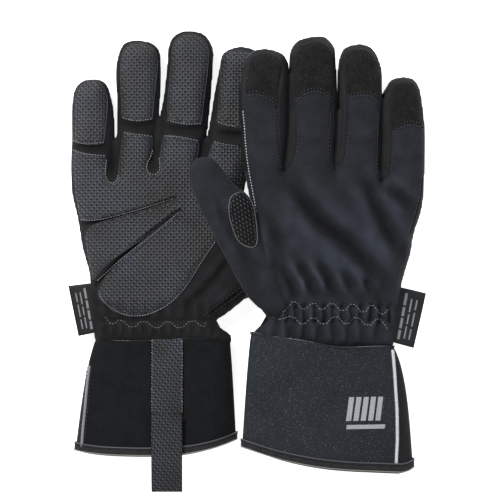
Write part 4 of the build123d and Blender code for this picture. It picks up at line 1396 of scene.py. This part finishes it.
# back panels of the four fingers, which run along the seams
UPPER_PANELS = [np.vstack(parts) for parts in (
    (points("-121.45,131.3 -123.45,118.3 -125.44,107.25 -125.44,46.8 -96.87,46.8 -96.87,59.15"),
     UPPER_SEAMS[0][:0:-1], points("-98.86,130 -105.51,137.8 -115.47,137.8")),
    (points("-90.22,134.55 -91.55,121.55"), UPPER_SEAMS[1][2:],
     points("-96.87,46.8 -63.64,46.8"), UPPER_SEAMS[2][:0:-1],
     points("-64.97,134.55 -72.28,145.6 -83.58,145.6")),
    (points("-57,132.6"), UPPER_SEAMS[3][1:], points("-63.64,46.8 -33.07,46.8"),
     UPPER_SEAMS[4][::-1], points("-32.41,131.3 -40.38,141.7 -51.01,141.7")),
    (points("-27.09,107.25"), UPPER_SEAMS[5][1:],
     points("-33.07,46.8 0.82,46.8 0.82,105.3 -7.16,118.3 -21.78,119.6")))]

UPPER = Glove(
    side="upper", place=world_upper, palm_up=False, palm_name="palm_grip",
    # the upper glove's cuff neoprene is painted lighter than the lower glove's: painted light
    shell="softshell", cuff_cloth="neoprene_back",
    outline=points("""
    -117.47,-54.6 -117.47,-48.1 -113.48,-43.55 -108.16,-39.65 -105.51,-35.75 -110.82,-29.9
    -114.14,-18.2 -115.47,-5.2 -115.47,4.55 -114.81,17.55 -114.81,27.3 -116.8,37.05
    -118.8,46.8 -120.79,56.55 -122.12,66.3 -123.45,76.05 -123.45,85.8 -124.78,95.55
    -125.11,107.25 -123.45,118.3 -121.45,128.05 -118.8,133.25 -113.48,135.85 -107.5,136.18
    -102.18,135.2 -97.53,133.25 -94.21,130.65 -92.75,124.8 -92.48,111.8 -92.75,95.55
    -93.88,79.3 -95.34,67.6 -97,59.8 -96.6,57.85 -96.07,59.8 -94.47,67.6 -93.28,79.3
    -92.22,95.55 -92.22,111.8 -92.35,121.55 -92.22,130.65 -90.89,135.85 -88.89,139.75
    -85.57,142.35 -80.25,143.97 -73.61,144.95 -70.29,144.95 -66.96,143 -63.64,139.1
    -61.98,134.55 -61.91,128.05 -61.31,118.3 -60.72,103.35 -61.12,85.8 -62.18,72.8
    -63.51,62.4 -63.18,59.8 -62.78,62.4 -61.51,72.8 -60.45,85.8 -60.05,103.35 -59.92,118.3
    -59.65,128.05 -58.32,133.9 -55.67,137.47 -51.01,139.43 -45.03,140.4 -39.72,139.1
    -35.73,135.2 -33.07,129.35 -31.74,122.85 -31.08,115.05 -30.68,107.9 -30.68,85.8
    -31.61,66.3 -32.41,53.95 -32.01,51.35 -31.61,53.95 -30.81,66.3 -30.02,85.8 -30.15,107.9
    -29.75,109.85 -28.42,112.45 -25.76,115.7 -21.78,118.3 -15.8,119.28 -10.48,118.3
    -7.16,115.05 -5.5,108.55 -4.17,98.8 -3.17,89.05 -2.84,79.3 -3.17,69.55 -3.5,56.55
    -3.83,46.8 -4.83,37.05 -7.16,28.6 -9.81,22.1 -11.81,14.3 -12.47,7.8 -14.47,1.3
    -16.46,-5.2 -18.45,-11.7 -19.78,-18.2 -21.11,-27.95 -21.78,-36.4 -22.44,-44.2
    -23.77,-50.7 -24.43,-56.55"""),
    webs=lines("""-98.86,118.3 -87.56,118.3 -90.89,58.5 -101.52,58.5;
    -65.63,100.1 -55.67,100.1 -58.32,59.8 -67.63,59.8;
    -35.07,105.3 -25.1,105.3 -27.09,52 -37.06,52"""),
    fingers=dict(index=((-108.03, 83.85), (-128.1, -92.68)),
                 middle=((-78.06, 87.75), (-93.28, -60.78)),
                 ring=((-47.56, 87.1), (-60.78, -30.48)),
                 little=((-16.99, 73.45), (-30.95, 0.82))),
    grow=0.75, rim=12.3, z_range=(0, 30), middle_x=-70.95, middle_z=12.0, gusset_y=58.5,
    wrist_split=-16.9, wrist_bend=(-36.4, -48.75),
    above=field("""150.8,9.0 118.3,10.0 85.8,10.6 53.3,11.6 7.8,12.2 -18.2,11.0 -32.5,8.4
    -44.2,7.8 -54.6,8.2"""),
    below=field("150.8,8.6 85.8,9.4 1.3,10.0 -36.4,8.4 -54.6,8.0"),
    middle=field("150.8,10.0 85.8,10.6 1.3,11.2 -36.4,10.9 -54.6,11.0"),
    back_panels=UPPER_PANELS, seams=UPPER_SEAMS,
    folds=folds("""
    4.2,2.9 -96.2,57.2 -85.57,39 -75.6,26.65 -62.31,16.9 -52.34,7.8 -42.38,-2.6 -29.09,-16.9;
    3.6,2.6 -51.01,58.5 -41.71,46.8 -36.4,33.8 -29.75,20.8 -21.78,6.5 -17.79,0;
    3.0,1.9 -33.74,50.7 -23.77,43.55 -12.47,34.45;
    2.6,2.6 -86.23,-27.3 -92.22,-15.6 -101.52,0; 2.8,2.8 -72.94,-27.3 -80.25,-14.3 -90.89,2.6;
    2.8,2.6 -58.99,-27.95 -66.96,-14.3 -77.6,2.6;
    2.8,2.2 -45.7,-28.6 -52.34,-16.9 -61.65,-2.6;
    2.6,1.9 -34.4,-29.9 -39.05,-19.5 -45.7,-9.1;
    2.8,1.5 -106.83,16.9 -105.51,0 -100.85,-14.95 -96.2,-27.3;
    3.2,1.7 -110.82,30.55 -102.18,14.3 -96.87,0;
    2.2,0.3 -121.45,79.3 -113.48,75.4 -104.18,76.05;
    2.2,0.3 -89.56,79.3 -78.92,76.7 -68.29,78.65;
    2.2,0.3 -55.67,79.3 -47.03,76.05 -35.73,78.65;
    2.2,0.3 -26.43,67.6 -16.46,64.35 -4.5,66.3"""),
    gather_bands=[(-9.1, -28.6, 1.5, 12.5), (-25.35, -42.25, 1.9, 6.2),
                  (-37.7, -53.3, 1.6, 9.8)],
    gather_lines=[-29.25, -38.35],
    grips=dict(
        hand=points("""
    -4.5,72.8 -13.8,69.55 -27.09,70.2 -31.74,67.6 -33.74,56.55 -36.4,66.3 -37.72,78
    -41.71,83.85 -55.67,83.85 -59.65,79.3 -61.65,63.05 -64.97,66.3 -65.63,80.6 -68.96,83.85
    -84.24,83.85 -88.89,79.3 -92.22,63.05 -95.54,66.3 -96.2,78 -98.86,78.65 -117.47,75.4
    -119.46,66.3 -115.47,40.3 -110.82,26 -101.52,14.3 -91.55,4.55 -84.91,-5.2 -78.26,-14.95
    -71.61,-23.4 -64.97,-28.6 -55.67,-32.5 -45.03,-34.45 -38.39,-33.8 -31.74,-31.85
    -25.76,-26.65 -21.78,-13 -16.46,2.6 -10.48,24.05 -6.49,40.3 -4.5,56.55"""),
        index=points("""
    -113.48,133.9 -119.46,128.7 -121.45,118.3 -122.12,95.55 -118.8,89.7 -108.16,88.4
    -97.53,90.35 -95.54,98.8 -95.54,121.55 -98.2,130 -105.51,133.9"""),
        middle=points("""
    -82.91,142.35 -87.56,136.5 -89.56,128.05 -89.56,97.5 -86.9,93.6 -77.6,92.3 -68.29,93.6
    -65.63,98.8 -64.97,128.05 -68.29,139.1 -75.6,142.68"""),
        ring=points("""
    -51.68,137.8 -56.33,132.6 -57.33,124.8 -57.33,97.5 -55,92.95 -47.03,91.65 -38.39,92.95
    -35.73,98.8 -33.74,121.55 -36.4,132.6 -43.04,138.12"""),
        little=points("""
    -21.78,115.7 -26.43,110.5 -27.76,102.05 -27.76,83.2 -25.1,79.3 -16.46,78 -8.49,79.3
    -5.83,83.2 -5.83,102.05 -8.49,113.1 -15.8,116.67""")),
    creases=lines("""
    -103.25,97.5 -103.78,82.88 -102.32,68.9 -97.8,59.8 -97.13,59.54;
    -97.13,59.54 -92.22,67.8 -90.22,82.88 -90.89,97.5;
    -67.03,97.5 -67.63,82.88 -67.16,70.66 -64.31,61.75 -63.77,61.23;
    -63.77,61.23 -59.99,67.8 -57.93,82.88 -56.73,97.5;
    -35.46,97.5 -36.13,73.45 -35.73,59.15 -33.74,53.95;
    -33.74,53.95 -31.08,53.3 -28.82,57.46 -27.62,73.45 -27.89,89.05;
    -4.9,54.6 -6.23,43.55 -8.49,35.1 -11.14,26 -14.13,18.85;
    -114.81,2.6 -110.82,-7.15 -106.5,-16.25 -102.85,-24.7 -99.52,-30.55"""),
    pale_edges=[
        ("hand", points("-124.18,97.5 -123.05,85.8 -122.65,76.05 -121.59,66.3")),
        ("hand", points("-121.59,66.3 -120.13,56.55 -118.26,46.8 -116.4,37.05"
                        " -114.81,26.65"))],
    caps=dict(
        index=points("""
    -114.14,134.55 -118.13,131.95 -120.46,127.4 -122.12,118.3 -123.45,107.58 -118.8,108.88
    -114.14,108.55 -108.83,106.6 -104.84,104 -102.85,102.7 -102.18,111.8 -100.52,121.55
    -98.86,129.35 -102.18,133.58 -107.5,134.88"""),
        middle=points("""
    -84.91,141.05 -87.9,137.8 -89.89,132.6 -90.55,121.55 -90.55,104.65 -86.9,108.23
    -82.91,110.5 -77.6,111.48 -72.28,110.5 -68.29,107.58 -65.97,105.3 -65.63,113.1
    -64.97,128.05 -65.97,135.2 -68.96,141.05 -73.61,143.33 -79.59,142.68"""),
        ring=points("""
    -51.01,138.12 -54.34,135.85 -56.66,131.95 -57,121.55 -56.33,105.95 -52.34,108.23
    -47.03,109.2 -41.71,108.88 -37.06,106.6 -33.07,103.35 -32.41,113.1 -33.07,123.5
    -34.73,130 -37.72,135.2 -41.71,138.12 -45.7,138.78"""),
        little=points("""
    -21.78,116.67 -25.1,114.08 -26.76,109.2 -26.76,83.85 -23.1,87.1 -19.12,89.7
    -14.47,90.67 -9.15,89.7 -5.83,87.75 -4.17,85.8 -4.83,97.5 -6.49,107.25 -8.49,113.75
    -11.81,117 -16.46,117.65""")),
    cap_arcs=dict(
        index=points("""
    -124.11,106.92 -118.8,108.23 -114.14,107.9 -108.83,105.95 -104.84,103.35 -102.85,102.05"""),
        middle=points("""
    -90.22,104 -86.9,107.58 -82.91,109.85 -77.6,110.83 -72.28,109.85 -68.29,106.92
    -65.63,104.65"""),
        ring=points("""
    -56.33,105.3 -52.34,107.58 -47.03,108.55 -41.71,108.23 -37.06,105.95 -33.07,102.7"""),
        little=points("""
    -26.43,83.2 -23.1,86.45 -19.12,89.05 -14.47,90.03 -9.15,89.05 -5.83,87.1 -3.83,85.15""")),
    stitch_lines=lines("""
    -104.18,98.8 -104.84,89.05 -104.18,76.05 -102.18,66.3 -99.52,59.8;
    -88.56,85.8 -89.22,72.8 -90.89,64.35 -94.87,58.5;
    -68.62,85.8 -68.96,76.05 -67.96,66.3 -64.97,59.8;
    -55.33,84.5 -56.66,69.55 -58.99,62.4 -61.65,59.8; -37.06,69.55 -36.73,59.8 -34.4,52.65;
    -25.76,71.5 -26.43,63.05 -27.76,56.55 -30.41,52;
    -6.49,53.3 -7.82,43.55 -10.15,35.75 -12.8,26 -15.8,19.5;
    -112.82,3.9 -108.83,-5.2 -104.84,-14.95 -101.52,-22.75 -98.2,-29.9"""),
    zigzags=lines("""
    -102.32,-35.75 -100.39,-32.5 -96.2,-30.55 -91.75,-24.96 -84.97,-30.81 -78.73,-26
    -72.94,-31.2 -66.7,-26.26 -58.99,-31.98 -52.74,-26.65 -45.5,-33.02 -40.18,-27.5
    -33.47,-33.8 -28.42,-30.55;
    -101.52,-37.05 -91.75,-35.1 -85.5,-40.56 -78.73,-35.36 -71.48,-40.56 -64.31,-34.71
    -56.13,-40.56 -49.82,-35.36 -42.11,-41.47 -34.93,-36.4 -29.09,-43.55"""),
    thumb=points("""
    -148.7,66.3 -152.69,65.98 -155.34,65 -157.34,61.1 -158,53.3 -156.67,46.8 -154.02,40.3
    -150.03,31.85 -145.38,23.4 -140.73,14.3 -136.07,5.85 -131.42,-2.6 -126.11,-12.35
    -120.79,-21.45 -113.48,-28.6 -105.51,-34.45 -98.86,-36.4 -93.54,-28.6 -96.2,-14.95
    -103.51,0 -110.82,13 -114.14,24.7 -117.47,38.35 -124.11,45.5 -128.76,48.1 -133.42,53.3
    -138.73,59.8 -142.05,64.35 -145.38,66.1"""),
    thumb_rim=11.0, thumb_half=field("0,9.2"), thumb_middle=field("0,14.2"),
    thumb_bend=((-108.16, -16.9), (-124.11, 7.8)),
    thumb_folds=folds("""
    2.6,1.3 -137.4,30.55 -130.76,14.3 -120.13,0 -110.82,-8.45;
    2.4,1.3 -128.1,6.5 -121.45,-5.2 -113.48,-16.9;
    2.2,1.0 -130.76,2.6 -123.45,-10.4 -116.14,-22.1; 2.0,0.8 -142.05,40.3 -137.4,24.05"""),
    thumb_patch=points("""
    -125.44,45.18 -130.09,44.2 -134.08,41.6 -135.41,35.75 -134.74,28.6 -132.09,20.8
    -129.43,14.3 -125.44,10.72 -121.45,9.43 -117.47,10.08 -116.14,14.3 -116.47,26
    -118.13,37.05 -121.45,42.9"""),
    cuff_bulge=(0.8, 4.3), cuff_half=(9.0, 13.6), cuff_middle=(11.0, 13.6), gusset_sign=1,
    cuff_top=points("""
    -116.8,-44.85 -110.16,-46.8 -100.85,-48.36 -90.62,-49.66 -80.25,-51.35 -68.96,-53.69
    -54.34,-54.99 -39.05,-54.6 -25.1,-54.21"""),
    cuff_hem=points("""
    -123.45,-118.3 -112.15,-122.53 -98.86,-126.75 -82.25,-130.33 -68.96,-132.34
    -55.67,-133.64 -42.38,-134.42 -29.09,-135.33 -19.12,-135.98 -11.48,-132.6"""),
    pipe_top=points("-24.77,-57.2 -23.77,-76.7 -23.1,-96.2 -23.24,-115.7 -24.43,-130.65"),
    pipe_low=points("-24.43,-57.2 -20.45,-76.7 -17.79,-96.2 -16.46,-115.7 -15.8,-130.65"),
    strap_x=-70.29, strap_start=-53.95,
    strap_tail=points("-102.7,-3.6 -96.2,-4.0 -83.2,-3.9 -66.95,-3.5 -53.95,-3.2"),
    label=points("-23.77,-15.21 -1.18,-20.41 -9.42,-56.16 -29.35,-50.7"),
    marks=lines("""-58.46,-102.38 -55,-102.38 -52.48,-87.1 -55.93,-87.1;
    -53.47,-102.38 -50.02,-102.38 -47.49,-87.1 -50.95,-87.1;
    -48.49,-102.38 -45.03,-102.38 -42.51,-87.1 -45.96,-87.1;
    -43.51,-102.38 -40.05,-102.38 -37.53,-87.1 -40.98,-87.1;
    -38.52,-102.38 -35.07,-102.38 -32.54,-87.1 -36,-87.1;
    -58.32,-107.64 -32.14,-107.64 -31.61,-104.91 -57.79,-104.91"""),
)
LOWER.build()
UPPER.build()


# ---------------------------------------------------------------- floor, light, camera (m)
def link_object(name, data):
    obj = bpy.data.objects.new(name, data)
    bpy.context.scene.collection.objects.link(obj)
    return obj


def build_floor(half=3.0, z=-0.0005):
    mesh = bpy.data.meshes.new("floor")
    mesh.from_pydata([(-half, -half, z), (half, -half, z), (half, half, z), (-half, half, z)],
                     [], [(0, 1, 2, 3)])
    floor = link_object("floor", mesh)
    tree, bsdf = new_material("floor_white")
    set_inputs(tree, bsdf, {
        "Base Color": (0.85, 0.85, 0.85, 1), "Roughness": 0.9, "Specular IOR Level": 0.0,
        "Emission Color": (1, 1, 1, 1), "Emission Strength": 0.86})
    mesh.materials.append(MAT["floor_white"])
    floor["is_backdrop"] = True


def build_world():
    """Dim cool light on the gloves, bright white for the camera."""
    world = bpy.data.worlds.new("studio")
    bpy.context.scene.world = world
    world.use_nodes = True
    tree = world.node_tree
    dim = tree.nodes["Background"]
    set_inputs(tree, dim, {"Color": (0.80, 0.84, 0.92, 1), "Strength": 0.30})
    bright = node(tree, "Background", {"Color": (1, 1, 1, 1), "Strength": 1.2})
    seen = node(tree, "LightPath", {}).outputs["Is Camera Ray"]
    mix = node(tree, "MixShader", {"Fac": seen, 1: dim.outputs[0], 2: bright.outputs[0]})
    set_inputs(tree, tree.nodes["World Output"], {"Surface": mix.outputs[0]})


def area_light(name, location, size, power, color=(1, 1, 1)):
    """Square light aimed at the origin."""
    light = bpy.data.lights.new(name, "AREA")
    light.shape = "SQUARE"
    light.size = size
    light.energy = power
    light.color = color
    obj = link_object(name, light)
    obj.location = location
    obj.rotation_euler = (-Vector(location)).to_track_quat("-Z", "Y").to_euler()


def build_camera():
    """Long lens looking straight down."""
    camera = bpy.data.cameras.new("camera")
    camera.lens = 200
    camera.sensor_width = 36
    camera.clip_end = 20
    obj = link_object("camera", camera)
    obj.location = (0.00217, 0.00787, 1.8256)
    bpy.context.scene.camera = obj


build_floor()
build_world()
area_light("key", (-0.55, 0.65, 0.95), size=0.42, power=24.0)
area_light("fill", (0.75, 0.15, 0.85), size=0.6, power=5.0, color=(0.90, 0.94, 1.0))
area_light("low", (0.1, -0.9, 0.5), size=0.5, power=3.0)
build_camera()
view = bpy.context.scene.view_settings
view.view_transform = "Standard"
view.look = "None"
view.exposure = 0.0
view.gamma = 1.0

({name: [[float(v) for v in corner] for corner in box]
           for name, box in (("cad", CAD_BOUNDS), ("visual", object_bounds()))})
